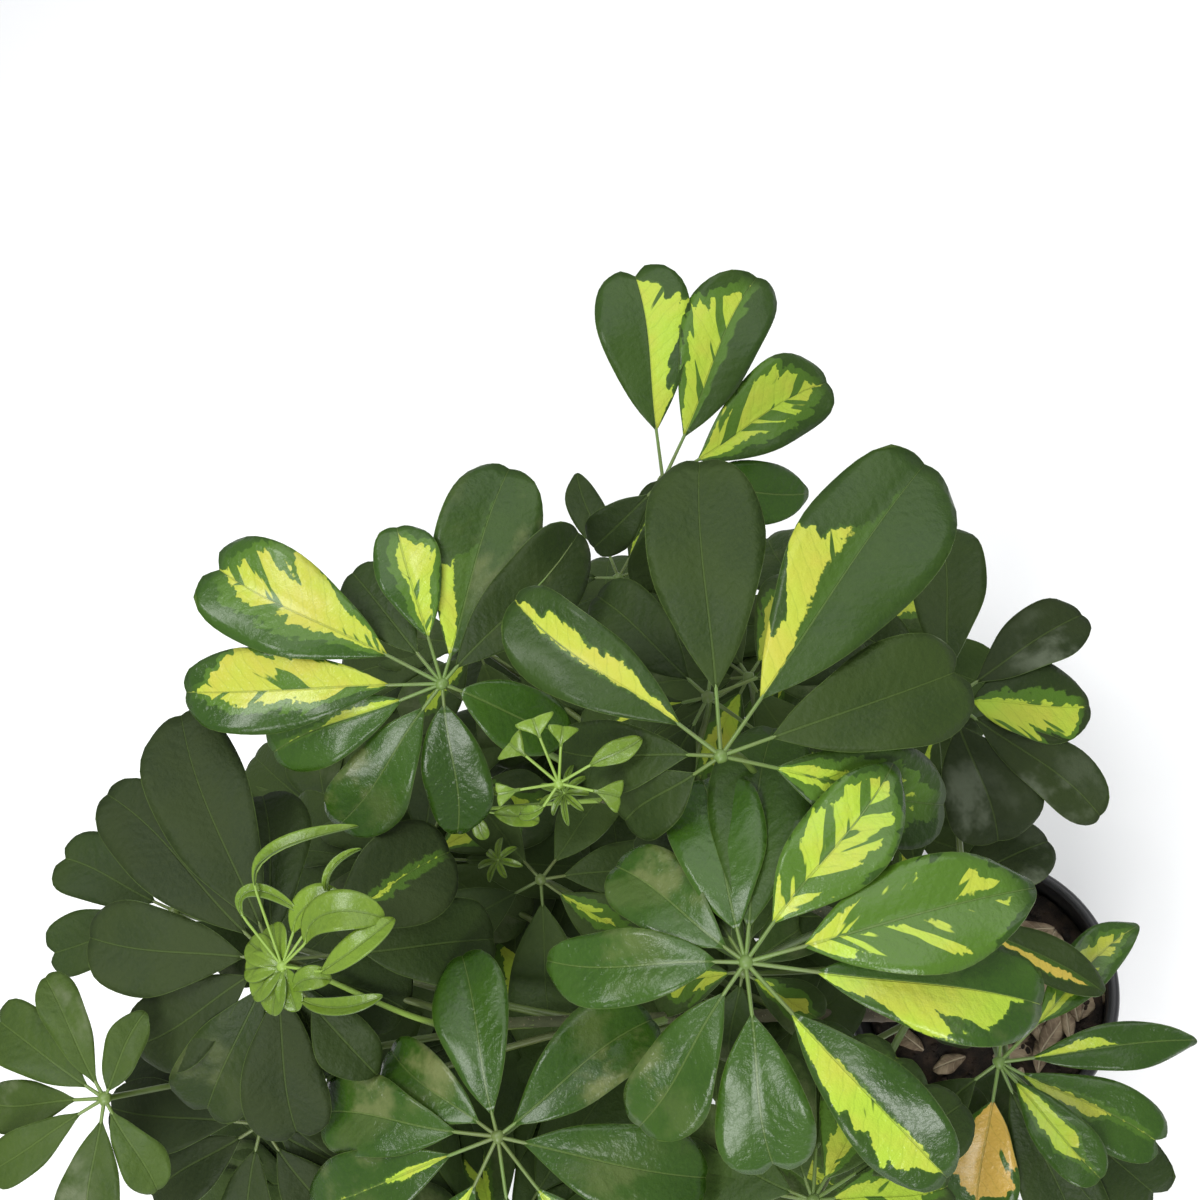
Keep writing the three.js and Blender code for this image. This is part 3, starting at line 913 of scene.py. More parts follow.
def mark(mesh: bpy.types.Mesh, name: str, value: tuple[float, float, float, float]) -> None:
    """Stores the same four numbers on all of a mesh's points, under a name."""
    attribute = mesh.attributes.new(name, "FLOAT_COLOR", "POINT")
    attribute.data.foreach_set("color", np.tile(np.array(value, dtype=np.float32), len(mesh.vertices)))


def tube(name: str, runs: list[Run], sides: int, material: Material) -> Piece:
    """Builds round rods along lists of points.

    Args:
        name: the object's name.
        runs: for each rod, its points in metres with the radius there.
        sides: how finely the rods are rounded.
        material: its finish.

    Returns:
        The rods as one mesh object.
    """
    deselect()
    bpy.ops.curve.primitive_bezier_curve_add()
    path = bpy.context.object
    curve = path.data
    curve.splines.clear()
    curve.dimensions = "3D"
    curve.bevel_depth = 1.0
    curve.bevel_resolution = sides
    curve.use_fill_caps = True
    for run in runs:
        spline = curve.splines.new("POLY")
        spline.points.add(len(run) - 1)
        for point, (place, radius) in zip(spline.points, run):
            point.co = (*place, 1.0)
            point.radius = radius
    select_only(path)
    bpy.ops.object.convert(target="MESH")
    made = bpy.context.object
    made.name = name
    coat(made, material)
    made.data.shade_smooth()
    return made


@dataclass
class Stem:
    """A woody stem on a cubic curve, with rings where old leaves grew."""

    key: str
    base: float
    top: float
    points: list[Place]
    scars: list[float]
    steps: int = 90
    sides: int = 5
    ring_width: float = 0.008
    ring_rise: float = 0.13
    waist: float = 0.93
    waver: float = 0.02
    waver_rate: float = 40.0

    def curve(self) -> list[Vector]:
        """Returns the curve's four points in millimetres."""
        return [Vector(p) for p in self.points]

    def radius(self, share: float) -> float:
        """Works out how thick the stem is, with its rings.

        Args:
            share: a share of its curve.

        Returns:
            The radius there in millimetres.
        """
        plain = self.base + (self.top - self.base) * share
        rings = sum(math.exp(-(((share - scar) / self.ring_width) ** 2)) for scar in self.scars)
        waver = self.waver * math.sin(self.waver_rate * share)
        return plain * (self.waist + self.ring_rise * min(rings, 1.0) + waver)

    def build(self, finishes: Finishes) -> Piece:
        """Builds the stem over its frame node.

        Args:
            finishes: the plant's materials.

        Returns:
            The stem.
        """
        curve = self.curve()
        shares = [i / self.steps for i in range(self.steps + 1)]
        run = [(bezier(curve, share) * MM, self.radius(share) * MM) for share in shares]
        piece = tube("stem_" + self.key + "_bark", [run], self.sides, finishes.bark)
        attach(piece, "root")
        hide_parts("stem_" + self.key)
        return piece


STEMS: dict[str, Stem] = {
    "a": Stem("a", 4.6, 3.0, [(12, -14, 84), (14, -18, 190), (-14, -22, 262), (-38, 22, 362)],
              [0.2, 0.29, 0.36, 0.44, 0.5, 0.6, 0.68, 0.75, 0.83, 0.9, 0.95, 0.99]),
    "b": Stem("b", 4.2, 2.6, [(-22, 4, 84), (-38, -6, 216), (-108, 44, 236), (-206, 92, 352)],
              [0.2, 0.3, 0.4, 0.5, 0.56, 0.62, 0.68, 0.72, 0.79, 0.84, 0.9, 0.94, 0.99]),
    "c": Stem("c", 4.2, 2.6, [(6, 22, 84), (10, 32, 190), (-30, 112, 232), (-84, 130, 352)],
              [0.2, 0.34, 0.45, 0.56, 0.62, 0.66, 0.7, 0.78, 0.82, 0.93, 0.97]),
}


class BladeMaker:
    """Makes blades from one flat grid, each copy with its own mesh."""

    def __init__(self, finishes: Finishes, form: BladeForm) -> None:
        """Makes the grid.

        Args:
            finishes: the plant's materials.
            form: the shape that the blades share.
        """
        self.finishes, self.form = finishes, form
        deselect()
        bpy.ops.mesh.primitive_grid_add(
            x_subdivisions=form.across, y_subdivisions=form.along, size=2.0, calc_uvs=True,
        )
        self.grid = bpy.context.object
        flat = np.empty(len(self.grid.data.vertices) * 3)
        self.grid.data.vertices.foreach_get("co", flat)
        self.u, self.v = flat[0::3], (flat[1::3] + 1) / 2

    def outline(self, leaflet: Leaflet, place: np.ndarray) -> np.ndarray:
        """Works out the half width of a blade.

        Args:
            leaflet: the leaflet.
            place: shares of the blade's length.

        Returns:
            Half widths in millimetres.
        """
        widest, blunt, _ = leaflet.tip.value
        rise = blunt * widest / (1 - widest)
        top = widest**rise * (1 - widest) ** blunt
        share = np.clip(place, 1e-6, 1.0) ** rise * np.clip(1 - place, 0.0, 1.0) ** blunt / top
        return np.maximum(share * leaflet.width / 2, self.form.stalk_radius * 0.9)

    @staticmethod
    def stray(leaflet: Leaflet, form: BladeForm, seed: float, share: object) -> object:
        """Returns how far a midrib bows sideways at a share of its length, in millimetres."""
        bow = form.sway * leaflet.length * math.cos(2 * math.pi * form.sway_phase * seed)
        return bow * 1.5 * share * np.sin(math.pi * np.minimum(share, 1.0))

    def place_points(self, leaflet: Leaflet, seed: float) -> tuple[np.ndarray, np.ndarray]:
        """Works out a blade's points in its leaf's plane.

        Args:
            leaflet: the leaflet.
            seed: a number that makes its waves its own.

        Returns:
            The points, and for each the places across and along the blade and from its margin.
        """
        form, length = self.form, leaflet.length
        u, v, hand = self.u, self.v, np.sign(self.u)
        notch = leaflet.tip.value[2] * np.exp(-((u / form.notch_width) ** 2)) * v**8
        low = form.shoulder * v
        uneven = form.lop * math.sin(2 * math.pi * form.lop_phase * seed) * hand
        ripple = 2 * math.pi * (form.ripples * v + form.wobble_phase * seed)
        uneven = uneven + form.wobble * np.sin(ripple + 2 * hand)
        width = self.outline(leaflet, low) * (1 + uneven * np.clip(3 * v, 0, 1))
        share = low + (1 - form.shoulder) * v**3 * (1 - u**2) - notch
        share = share + form.skew * math.sin(form.skew_phase * seed) * u * v**3
        cover = form.shoulder * (1 - v) + (1 - form.shoulder) * (1 - v**3) * (1 - u**2)
        margin = np.minimum((1 - np.abs(u)) * width, length * cover)
        start = math.radians(form.rise_share * form.arch - leaflet.droop)
        bend, flat = math.radians(form.arch), math.radians(leaflet.azimuth)
        out = np.array([math.cos(flat), math.sin(flat), 0.0])
        side, up = np.array([out[1], -out[0], 0.0]), np.array([0.0, 0.0, 1.0])
        half = bend * share / 2
        chord = length * share * np.sin(np.maximum(half, 1e-6)) / np.maximum(half, 1e-6)
        angle, turn = start - half, start - bend * share
        middle = (out * math.cos(start) + up * math.sin(start)) * leaflet.stalk
        middle = middle + (np.outer(np.cos(angle), out) + np.outer(np.sin(angle), up)) * chord[:, None]
        normal = np.cross(side, np.outer(np.cos(turn), out) + np.outer(np.sin(turn), up))
        twist = np.radians(leaflet.lean) * share
        across = np.outer(np.cos(twist), side) - normal * np.sin(twist)[:, None]
        above = normal * np.cos(twist)[:, None] + np.outer(np.sin(twist), side)
        fold = math.radians(form.fold)
        rise = width * (math.tan(fold) * np.abs(u) - form.camber * u**2) * np.clip(v * 4, 0, 1)
        wave = np.sin(2 * math.pi * (form.waves * v + seed) + 1.5 * hand) * u**2 * np.clip(v * 2, 0, 1)
        rise = rise + wave * form.wave * length
        wide = u * width * math.cos(fold) + self.stray(leaflet, form, seed, share)
        points = middle + across * wide[:, None] + above * rise[:, None]
        return points, np.stack([u * width, share * length, margin], axis=1)

    def blade(self, name: str, leaflet: Leaflet, tone: Tone, seed: float) -> Piece:
        """Makes a blade with its paint, in its leaf's plane, in millimetres."""
        return self.dress(name, leaflet, tone, seed, *self.place_points(leaflet, seed))

    def soft_blade(self, name: str, soft: SoftBlade, seed: float) -> Piece:
        """Makes a young blade along its curve, in millimetres.

        Args:
            name: the object's name.
            soft: the blade.
            seed: a number that makes its pattern its own.

        Returns:
            The blade.
        """
        form, leaflet = self.form, soft.leaflet()
        u, v = self.u, self.v
        width = self.outline(leaflet, form.shoulder * v)
        share = form.shoulder * v + (1 - form.shoulder) * v**3 * (1 - u**2)
        rest = 1 - share
        a, b, c, d = (np.array(p, dtype=float) for p in soft.path)
        middle = np.outer(rest**3, a) + np.outer(3 * rest**2 * share, b)
        middle = middle + np.outer(3 * rest * share**2, c) + np.outer(share**3, d)
        tangent = np.outer(rest**2, b - a) + np.outer(2 * rest * share, c - b) + np.outer(share**2, d - c)
        side = np.cross(tangent, np.array([0.0, 0.0, 1.0]))
        side = side / np.linalg.norm(side, axis=1)[:, None]
        normal = np.cross(side, tangent)
        normal = normal / np.linalg.norm(normal, axis=1)[:, None]
        roll, fold = math.radians(soft.roll), math.radians(soft.fold)
        across = side * math.cos(roll) + normal * math.sin(roll)
        above = normal * math.cos(roll) - side * math.sin(roll)
        rise = np.abs(u) * width * math.sin(fold) * np.clip(4 * v, 0, 1)
        points = middle + across * (u * width * math.cos(fold))[:, None] + above * rise[:, None]
        places = np.stack([u * width, share * leaflet.length, (1 - np.abs(u)) * width], axis=1)
        return self.dress(name, leaflet, soft.tone, seed, points, places)

    def dress(
        self, name: str, leaflet: Leaflet, tone: Tone, seed: float, points: np.ndarray, places: np.ndarray,
    ) -> Piece:
        """Makes a blade's mesh with its paint.

        Args:
            name: the object's name.
            leaflet: the leaflet.
            tone: its leaf's colour.
            seed: a number that makes its pattern its own.
            points: where its grid's points go.
            places: for each point, the places across and along the blade and from its margin.

        Returns:
            The blade.
        """
        mesh = self.grid.data.copy()
        mesh.vertices.foreach_set("co", points.ravel())
        attribute = mesh.attributes.new("place", "FLOAT_VECTOR", "POINT")
        attribute.data.foreach_set("vector", places.ravel().astype(np.float32))
        paint = leaflet.paint
        mark(mesh, "paint", (paint.left, paint.right, paint.reach, paint.inner))
        # The khaki amount stored here also sets the painted sheen on grey leaves.
        mark(mesh, "wear_and_sheen", (paint.middle, paint.khaki, paint.tan, seed))
        mark(mesh, "tone", (leaflet.tone or tone).value)
        mesh.shade_smooth()
        return place_mesh(name, mesh)

    def close(self) -> None:
        """Removes the grid."""
        bpy.data.objects.remove(self.grid)


@dataclass
class CompoundLeaf:
    """A leaf of several leaflets round a hub, on a petiole that grows from a stem.

    Hub is in millimetres. Faces is the azimuth and the tilt of its plane in degrees. Stem and at say where
    on which stem it grows, slim how fine its stalks are and bow how far its petiole is pushed aside. Leave
    and meet say how the petiole's curve leaves the stem and meets the hub, and each swell how much wider
    the petiole is at that end and over what share of its length.
    """

    key: str
    hub: Place
    faces: tuple[float, float]
    stem: str
    at: float
    tone: Tone
    leaflets: list[Leaflet]
    slot: str = "leaf_dark"
    slim: float = 1.0
    bow: Place = (0.0, 0.0, 0.0)
    petiole_base: float = 1.9
    petiole_tip: float = 1.3
    petiole_steps: int = 22
    hub_radius: float = 3.0
    hub_height: float = 0.75
    hub_lobes: float = 0.1
    leave_along: float = 0.35
    leave_reach: float = 0.35
    meet_reach: float = 0.3
    foot_swell: tuple[float, float] = (0.55, 0.05)
    head_swell: tuple[float, float] = (0.3, 0.03)
    stalk_taper: tuple[float, float] = (1.1, 0.2)
    stalk_sides: int = 2
    ridge_sink: float = 0.75
    soft: list[SoftBlade] = field(default_factory=list)

    def turn(self) -> Quaternion:
        """Returns the turn from a level leaf to the way that this one faces."""
        azimuth, tilt = (math.radians(a) for a in self.faces)
        return Quaternion(Vector((-math.sin(azimuth), math.cos(azimuth), 0)), tilt)

    def petiole(self) -> list[Vector]:
        """Works out the petiole's curve.

        Returns:
            Its four points in millimetres.
        """
        curve = STEMS[self.stem].curve()
        start, hub, bow = bezier(curve, self.at), Vector(self.hub), Vector(self.bow)
        reach = hub - start
        out = reach.normalized().lerp(bezier_tangent(curve, self.at), self.leave_along).normalized()
        first = start + out * (self.leave_reach * reach.length) + bow
        last = hub - self.turn() @ UP * (self.meet_reach * reach.length) + bow
        return [start, first, last, hub]

    def petiole_run(self) -> Run:
        """Works out the petiole, which is wide at the stem and at the hub.

        Returns:
            Its points in metres with the radius at each.
        """
        curve = self.petiole()
        run = []
        for i in range(self.petiole_steps + 1):
            share = i / self.petiole_steps
            plain = self.petiole_base + (self.petiole_tip - self.petiole_base) * share
            foot = self.foot_swell[0] * math.exp(-share / self.foot_swell[1])
            head = self.head_swell[0] * math.exp(-(1 - share) / self.head_swell[1])
            run.append((bezier(curve, share) * MM, plain * (1 + foot + head) * self.slim * MM))
        return run

    def seed(self, index: int) -> float:
        """Returns the number that makes a leaflet's pattern and outline its own."""
        return (0.37 * index + 0.0131 * sum(self.hub)) % 1.0

    def stalk_run(self, leaflet: Leaflet, form: BladeForm, seed: float) -> Run:
        """Works out a leaflet's stalk, which runs on as the ridge under its midrib.

        Args:
            leaflet: the leaflet.
            form: the shape that the blades share.
            seed: the leaflet's own number.

        Returns:
            Its points in metres with the radius at each.
        """
        start = math.radians(form.rise_share * form.arch - leaflet.droop)
        bend, flat = math.radians(form.arch), math.radians(leaflet.azimuth)
        out = Vector((math.cos(flat), math.sin(flat), 0))
        side = Vector((out.y, -out.x, 0))
        thick = form.stalk_radius * self.slim

        def ray(angle: float) -> Vector:
            """Returns the direction at an angle above the leaf's plane."""
            return out * math.cos(angle) + UP * math.sin(angle)

        wide, fall = self.stalk_taper
        run = []
        for share in (0.0, 0.5, 0.9):
            run.append((ray(start) * (leaflet.stalk * share), thick * (wide - fall * share)))
        for share, thinness in RIDGE.shares():
            half = bend * share / 2
            chord = leaflet.length * share * math.sin(half) / half
            middle = ray(start) * leaflet.stalk + ray(start - half) * chord
            radius = thick * thinness
            down = ray(start - bend * share - math.pi / 2) * (radius * self.ridge_sink)
            aside = side * float(BladeMaker.stray(leaflet, form, seed, share))
            run.append((middle + down + aside, radius))
        turn, hub = self.turn(), Vector(self.hub)
        return [((turn @ place + hub) * MM, radius * MM) for place, radius in run]

    def knob(self, finishes: Finishes) -> Piece:
        """Makes the swollen hub where the stalks meet.

        Args:
            finishes: the plant's materials.

        Returns:
            The hub.
        """
        deselect()
        radius = self.hub_radius * self.slim * MM
        bpy.ops.mesh.primitive_uv_sphere_add(segments=12, ring_count=8, radius=radius)
        ball = bpy.context.object
        for vertex in ball.data.vertices:
            vertex.co.z *= self.hub_height
            around = math.atan2(vertex.co.y, vertex.co.x)
            vertex.co.x *= 1 + self.hub_lobes * math.cos(len(self.leaflets) * around)
            vertex.co.y *= 1 + self.hub_lobes * math.cos(len(self.leaflets) * around)
        ball.data.transform(Matrix.Translation(Vector(self.hub) * MM) @ self.turn().to_matrix().to_4x4())
        coat(ball, finishes.stalk)
        ball.data.shade_smooth()
        return ball

    def build(self, maker: BladeMaker) -> Piece:
        """Builds the leaf over its frame node.

        Args:
            maker: what makes its blades.

        Returns:
            The leaf.
        """
        finishes, form = maker.finishes, maker.form
        metres = Matrix.Scale(MM, 4)
        place = metres @ (Matrix.Translation(Vector(self.hub)) @ self.turn().to_matrix().to_4x4())
        blades = []
        for i, leaflet in enumerate(self.leaflets):
            blades.append(maker.blade(f"{self.key}_blade_{i}", leaflet, self.tone, self.seed(i)))
            blades[-1].data.transform(place)
        for i, soft in enumerate(self.soft):
            blades.append(maker.soft_blade(f"{self.key}_soft_{i}", soft, self.seed(i)))
            blades[-1].data.transform(metres)
        leaf = join(blades, "compound_leaf_" + self.key)
        coat(leaf, *finishes.leaf)
        apply_modifier(
            leaf, "SOLIDIFY", thickness=form.thickness * self.slim * MM, offset=0.0, use_rim=True,
            material_offset=1, material_offset_rim=2,
        )
        runs = [self.stalk_run(leaflet, form, self.seed(i)) for i, leaflet in enumerate(self.leaflets)]
        runs += [soft.stalk_run(self.hub, form.stalk_radius * self.slim) for soft in self.soft]
        stalks = tube(self.key + "_stalks", runs + [self.petiole_run()], self.stalk_sides, finishes.stalk)
        knob = self.knob(finishes)
        for piece in (stalks, knob):
            mark(piece.data, "tone", self.tone.value)
        leaf = join([leaf, stalks, knob], leaf.name)
        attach(leaf, "root")
        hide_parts("leaf_" + self.key)
        return leaf


def star(centre: Place, count: int, reach: float, width: float) -> list[SoftBlade]:
    """Makes a bud's ring of tiny narrow blades.

    Args:
        centre: its middle in millimetres.
        count: how many blades it has.
        reach: how long they are.
        width: how wide they are.

    Returns:
        The blades.
    """
    ring = []
    for i in range(count):
        turn = 2 * math.pi * i / count
        far = reach * (0.9 + 0.15 * math.sin(2.3 * i))
        end = (centre[0] + far * math.cos(turn), centre[1] + far * math.sin(turn), centre[2] - 2)
        ring.append(SoftBlade.arched(centre, end, 2.5, width, fold=30, root=centre))
    return ring


# Khaki patches, which are a painted sheen on the grey leaves that carry them.
KHAKI_AND_SHEEN = Paint(khaki=0.75)

LEAVES: list[CompoundLeaf] = [
    CompoundLeaf("front", (-70, -3, 430), (-90, 10), "a", 0.9, Tone.FRONT, [
        Leaflet(66, 12, 13, 68, 42),
        Leaflet(14, 4, 19, 80, 38, lean=10, tip=Tip.POINTED, paint=Paint(0.8, 0.62, 1, middle=0.6)),
        Leaflet(
            -24, 8, 24, 93, 46, lean=-6, tip=Tip.POINTED,
            paint=Paint(0.65, 0.66, 0.98, inner=0.15, middle=0.85),
        ),
        Leaflet(-46, 16, 28, 90, 42, lean=-8, paint=Paint(0, 0.8, 0.95, khaki=0.3)),
        Leaflet(-86, 12, 26, 84, 36, lean=6, paint=Paint(0.05, 0.7, 1.02)),
        Leaflet(-124, 20, 20, 64, 40, tip=Tip.NOTCHED),
        Leaflet(-166, 16, 15, 68, 34, paint=Paint(khaki=0.6)),
        Leaflet(140, 10, 12, 76, 32, tip=Tip.OVAL, paint=Paint(khaki=0.4)),
        Leaflet(106, 12, 10, 62, 34, lean=8, paint=KHAKI_AND_SHEEN), Leaflet(86, 27, 12, 76, 40, tone=Tone.DARK),
        Leaflet(46, 14, 14, 90, 44, tone=Tone.UPPER),
    ], "leaf_green"),
    CompoundLeaf("tall", (-26, 59, 455), (-90, 24), "a", 1, Tone.UPPER, [
        Leaflet(54, 8, 27, 99, 50, tone=Tone.DARK),
        Leaflet(15, 6, 28, 122, 58, lean=-6, paint=Paint(0.95, 0, 0.74, inner=0.3, tan=0.22)),
        Leaflet(-20, 8, 22, 84, 46, tip=Tip.NOTCHED, tone=Tone.DARK),
        Leaflet(-52, 20, 23, 78, 42, paint=Paint(0.4, 0.4, inner=0.15, middle=0.5)),
        Leaflet(103, 6, 21, 88, 38, lean=-8, paint=Paint(0.05, 0.5, 1.05, tan=0.2)),
        Leaflet(138, 30, 14, 68, 34, tone=Tone.DARK), Leaflet(174, 32, 14, 44, 30, tone=Tone.DARK),
    ], "leaf_green", bow=(14, 2, 0)),
    CompoundLeaf("under_tall", (-14, 110, 400), (-90, 15), "c", 0.82, Tone.DARK, [
        Leaflet(97, 8, 12, 64, 34), Leaflet(44, 16, 28, 62, 36, paint=Paint(0.3)),
        Leaflet(150, 20, 12, 56, 30, paint=Paint(0, 0.3, 0.7)), Leaflet(-160, 24, 14, 56, 30),
        Leaflet(-16, 24, 24, 58, 34), Leaflet(-74, 30, 26, 50, 30, paint=Paint(0.3, 0.2, 0.8)),
    ]),
    CompoundLeaf("left_back", (-101, 180, 440), (-80, 30), "c", 0.93, Tone.FRONT, [
        Leaflet(114, 6, 28, 94, 50, tip=Tip.NOTCHED, paint=Paint(0.24, 0.82, 1, middle=0.4, tan=0.18)),
        Leaflet(143, 8, 24, 97, 40, paint=Paint(0.32, 0.95, 0.98, middle=0.3, tan=0.2)),
        Leaflet(163, 14, 20, 68, 34, paint=Paint(0, 0.45, 0.6, middle=0.2)),
        Leaflet(-166, 18, 14, 73, 36, paint=KHAKI_AND_SHEEN), Leaflet(-124, 22, 10, 66, 32, tip=Tip.OVAL),
        Leaflet(-60, 20, 9, 58, 32, tip=Tip.OVAL),
        Leaflet(10, 1, 10, 84, 38, lean=16, paint=Paint(khaki=0.5), tone=Tone.DARK),
        Leaflet(35, 6, 13, 94, 48, paint=Paint(0.85, 0, 0.6, inner=0.5, khaki=0.5), tone=Tone.UPPER),
        Leaflet(68, 2, 22, 53, 31, paint=Paint(0.22, 0.66, 0.98, middle=0.5)),
        Leaflet(91, 14, 18, 52, 30, tone=Tone.DARK),
    ], "leaf_green"),
    CompoundLeaf("low_front", (-206, 28, 370), (-90, 14), "b", 0.72, Tone.FRONT, [
        Leaflet(68, 10, 10, 73, 36), Leaflet(-2, 10, 9, 76, 38, paint=Paint(khaki=1)),
        Leaflet(110, 16, 11, 60, 32, paint=Paint(khaki=1)),
        Leaflet(137, 12, 20, 72, 38, tip=Tip.NOTCHED, paint=KHAKI_AND_SHEEN),
        Leaflet(162, 14, 24, 80, 36, paint=Paint(0.22, 0.2, 0.5, khaki=0.5)),
        Leaflet(-157, 18, 24, 66, 34, paint=Paint(0.1, 0.4, 0.85)),
        Leaflet(-122, 20, 26, 62, 34, tone=Tone.DARK),
        Leaflet(-90, 18, 28, 60, 32, paint=Paint(0.4, 0.4, 0.7, middle=0.3)),
        Leaflet(-50, 14, 12, 82, 40, paint=Paint(khaki=0.4)),
    ], "leaf_green"),
    CompoundLeaf("left_big", (-236, 138, 420), (-70, 30), "b", 0.94, Tone.SLATE, [
        Leaflet(76, 6, 17, 106, 46), Leaflet(100, 8, 18, 94, 40), Leaflet(136, 10, 14, 74, 42),
        Leaflet(174, 20, 14, 68, 38),
        Leaflet(-152, 20, 14, 70, 40, tip=Tip.NOTCHED, paint=Paint(khaki=0.3), tone=Tone.DARK),
        Leaflet(-120, 16, 14, 72, 40, tip=Tip.NOTCHED),
        Leaflet(-86, 10, 26, 44, 28, tip=Tip.POINTED, tone=Tone.DARK),
        Leaflet(-6, 14, 30, 64, 48, paint=Paint(0.05, 0.05, 0.7, middle=0.2)),
        Leaflet(-34, 22, 40, 66, 42, tone=Tone.DARK), Leaflet(62, 24, 10, 74, 42, tone=Tone.DARK),
        Leaflet(-104, 26, 8, 60, 38, tone=Tone.DARK), Leaflet(-62, 27, 10, 62, 38, tone=Tone.DARK),
    ]),
    CompoundLeaf("far_left", (-287, 225, 370), (-60, 30), "b", 0.84, Tone.SAGE, [
        Leaflet(119, 8, 11, 56, 36, tip=Tip.NOTCHED), Leaflet(162, 12, 12, 56, 32, tip=Tip.NOTCHED),
        Leaflet(80, 10, 12, 54, 30, tip=Tip.NOTCHED),
        Leaflet(-70, 18, 10, 48, 28, tip=Tip.NOTCHED, paint=KHAKI_AND_SHEEN),
        Leaflet(48, 12, 10, 50, 28, tip=Tip.NOTCHED),
    ], "leaf_green"),
    CompoundLeaf("lime_left", (-328, 134, 430), (-60, 24), "b", 0.9, Tone.OLIVE, [
        Leaflet(86, 6, 8, 55, 20, paint=KHAKI_AND_SHEEN), Leaflet(112, 12, 10, 58, 29, tip=Tip.NOTCHED),
        Leaflet(146, 20, 14, 46, 24, tip=Tip.NOTCHED, paint=KHAKI_AND_SHEEN),
        Leaflet(175, 6, 12, 48, 22, tip=Tip.NOTCHED),
        Leaflet(-134, 20, 10, 56, 30, tip=Tip.NOTCHED, paint=KHAKI_AND_SHEEN), Leaflet(-98, 20, 7, 42, 21),
        Leaflet(30, -6, 4, 36, 18, tip=Tip.OVAL),
    ], "leaf_young"),
    CompoundLeaf("low_left", (-301, 109, 360), (-60, 20), "b", 0.79, Tone.SLATE, [
        Leaflet(138, 10, 14, 66, 36), Leaflet(174, 16, 12, 56, 32), Leaflet(-140, 20, 12, 54, 30),
        Leaflet(-92, 18, 14, 56, 32), Leaflet(-40, 16, 14, 56, 30), Leaflet(98, 8, 14, 56, 30),
        Leaflet(-66, 25, 10, 58, 34), Leaflet(116, 18, 14, 74, 38),
    ]),
    CompoundLeaf("top_back", (37, 214, 400), (-90, 34), "c", 0.78, Tone.UPPER, [
        Leaflet(58, 4, 25, 81, 47, tip=Tip.NOTCHED, paint=Paint(0, 0.72, 1)),
        Leaflet(25, 4, 24, 88, 42, paint=Paint(0.75, 0, 0.95, middle=0.5)),
        Leaflet(-9, 6, 20, 77, 42, paint=Paint(0.75, 0.4, 0.96, middle=0.45)),
        Leaflet(-44, 12, 14, 62, 32, tip=Tip.POINTED, tone=Tone.FRONT),
        Leaflet(-88, 22, 12, 50, 28, tone=Tone.DARK), Leaflet(-134, 22, 12, 48, 28, tone=Tone.DARK),
        Leaflet(-176, 20, 10, 40, 24, tone=Tone.DARK),
    ], "leaf_green"),
    CompoundLeaf("back", (-8, 232, 330), (-90, 25), "c", 0.66, Tone.DARK, [
        Leaflet(72, 8, 12, 52, 20, tip=Tip.POINTED), Leaflet(22, 10, 12, 48, 28, paint=Paint(0.3, 0, 0.8)),
        Leaflet(139, 10, 12, 50, 30), Leaflet(-170, 18, 12, 48, 28),
        Leaflet(-16, 16, 12, 48, 28, paint=Paint(0, 0.3, 0.8)), Leaflet(-90, 24, 12, 46, 28),
    ]),
    CompoundLeaf("right", (70, 57, 345), (-90, 8), "a", 0.44, Tone.DARK, [
        Leaflet(-4, 12, 15, 63, 31, paint=KHAKI_AND_SHEEN, tone=Tone.SLATE),
        Leaflet(-39, 16, 10, 55, 39, tip=Tip.OVAL, paint=Paint(0.1, 0.9, 1, middle=0.4)),
        Leaflet(-77, 20, 14, 73, 29, lean=10, paint=KHAKI_AND_SHEEN, tone=Tone.SLATE),
        Leaflet(-113, 24, 12, 58, 45, paint=KHAKI_AND_SHEEN, tone=Tone.SLATE), Leaflet(52, 10, 14, 80, 38),
        Leaflet(100, 14, 14, 54, 32), Leaflet(-158, 22, 14, 56, 30, paint=Paint(0.3, 0, 0.8)),
    ]),
    CompoundLeaf("shaded", (-135, 132, 320), (-90, 20), "b", 0.5, Tone.INNER, [
        Leaflet(168, 12, 14, 70, 40), Leaflet(-126, 16, 12, 80, 44),
        Leaflet(-75, 20, 12, 60, 34, paint=Paint(0.3, 0.2, 0.6, middle=0.4)), Leaflet(14, 16, 12, 50, 30),
        Leaflet(94, 10, 12, 50, 30), Leaflet(-30, 18, 12, 52, 30),
    ]),
    CompoundLeaf("pot_side", (-19, -59, 250), (-90, 4), "a", 0.42, Tone.FRONT, [
        Leaflet(5, 8, 26, 70, 24, tip=Tip.POINTED, paint=Paint(0.5, 0.4, 0.95, middle=0.4)),
        Leaflet(44, 18, 14, 54, 23, paint=Paint(0.3, 0.45, middle=0.3)),
        Leaflet(-31, 6, 16, 75, 22, lean=24, tip=Tip.POINTED, paint=Paint(0.5, 0, 0.6, inner=0.1)),
        Leaflet(-65, 10, 12, 68, 32, tip=Tip.NOTCHED, paint=Paint(0.1, 0.5, 0.66, middle=0.2)),
        Leaflet(-79, 26, 16, 84, 42, tip=Tip.NOTCHED, tone=Tone.DARK),
        Leaflet(-142, 18, 18, 56, 40, lean=6, paint=Paint(1, 0.6, tan=0.9)),
        Leaflet(-89, -4, 12, 54, 26, paint=Paint(0.45, 0.5, 0.85, middle=0.2)),
        Leaflet(175, 20, 14, 48, 28, tone=Tone.DARK), Leaflet(-108, 25, 14, 82, 38, tone=Tone.DARK),
    ], "leaf_green"),
    CompoundLeaf("over_pot", (3, 10, 292), (-90, 10), "a", 0.6, Tone.DARK, [
        Leaflet(-13, 12, 14, 54, 32, paint=KHAKI_AND_SHEEN, tone=Tone.SLATE),
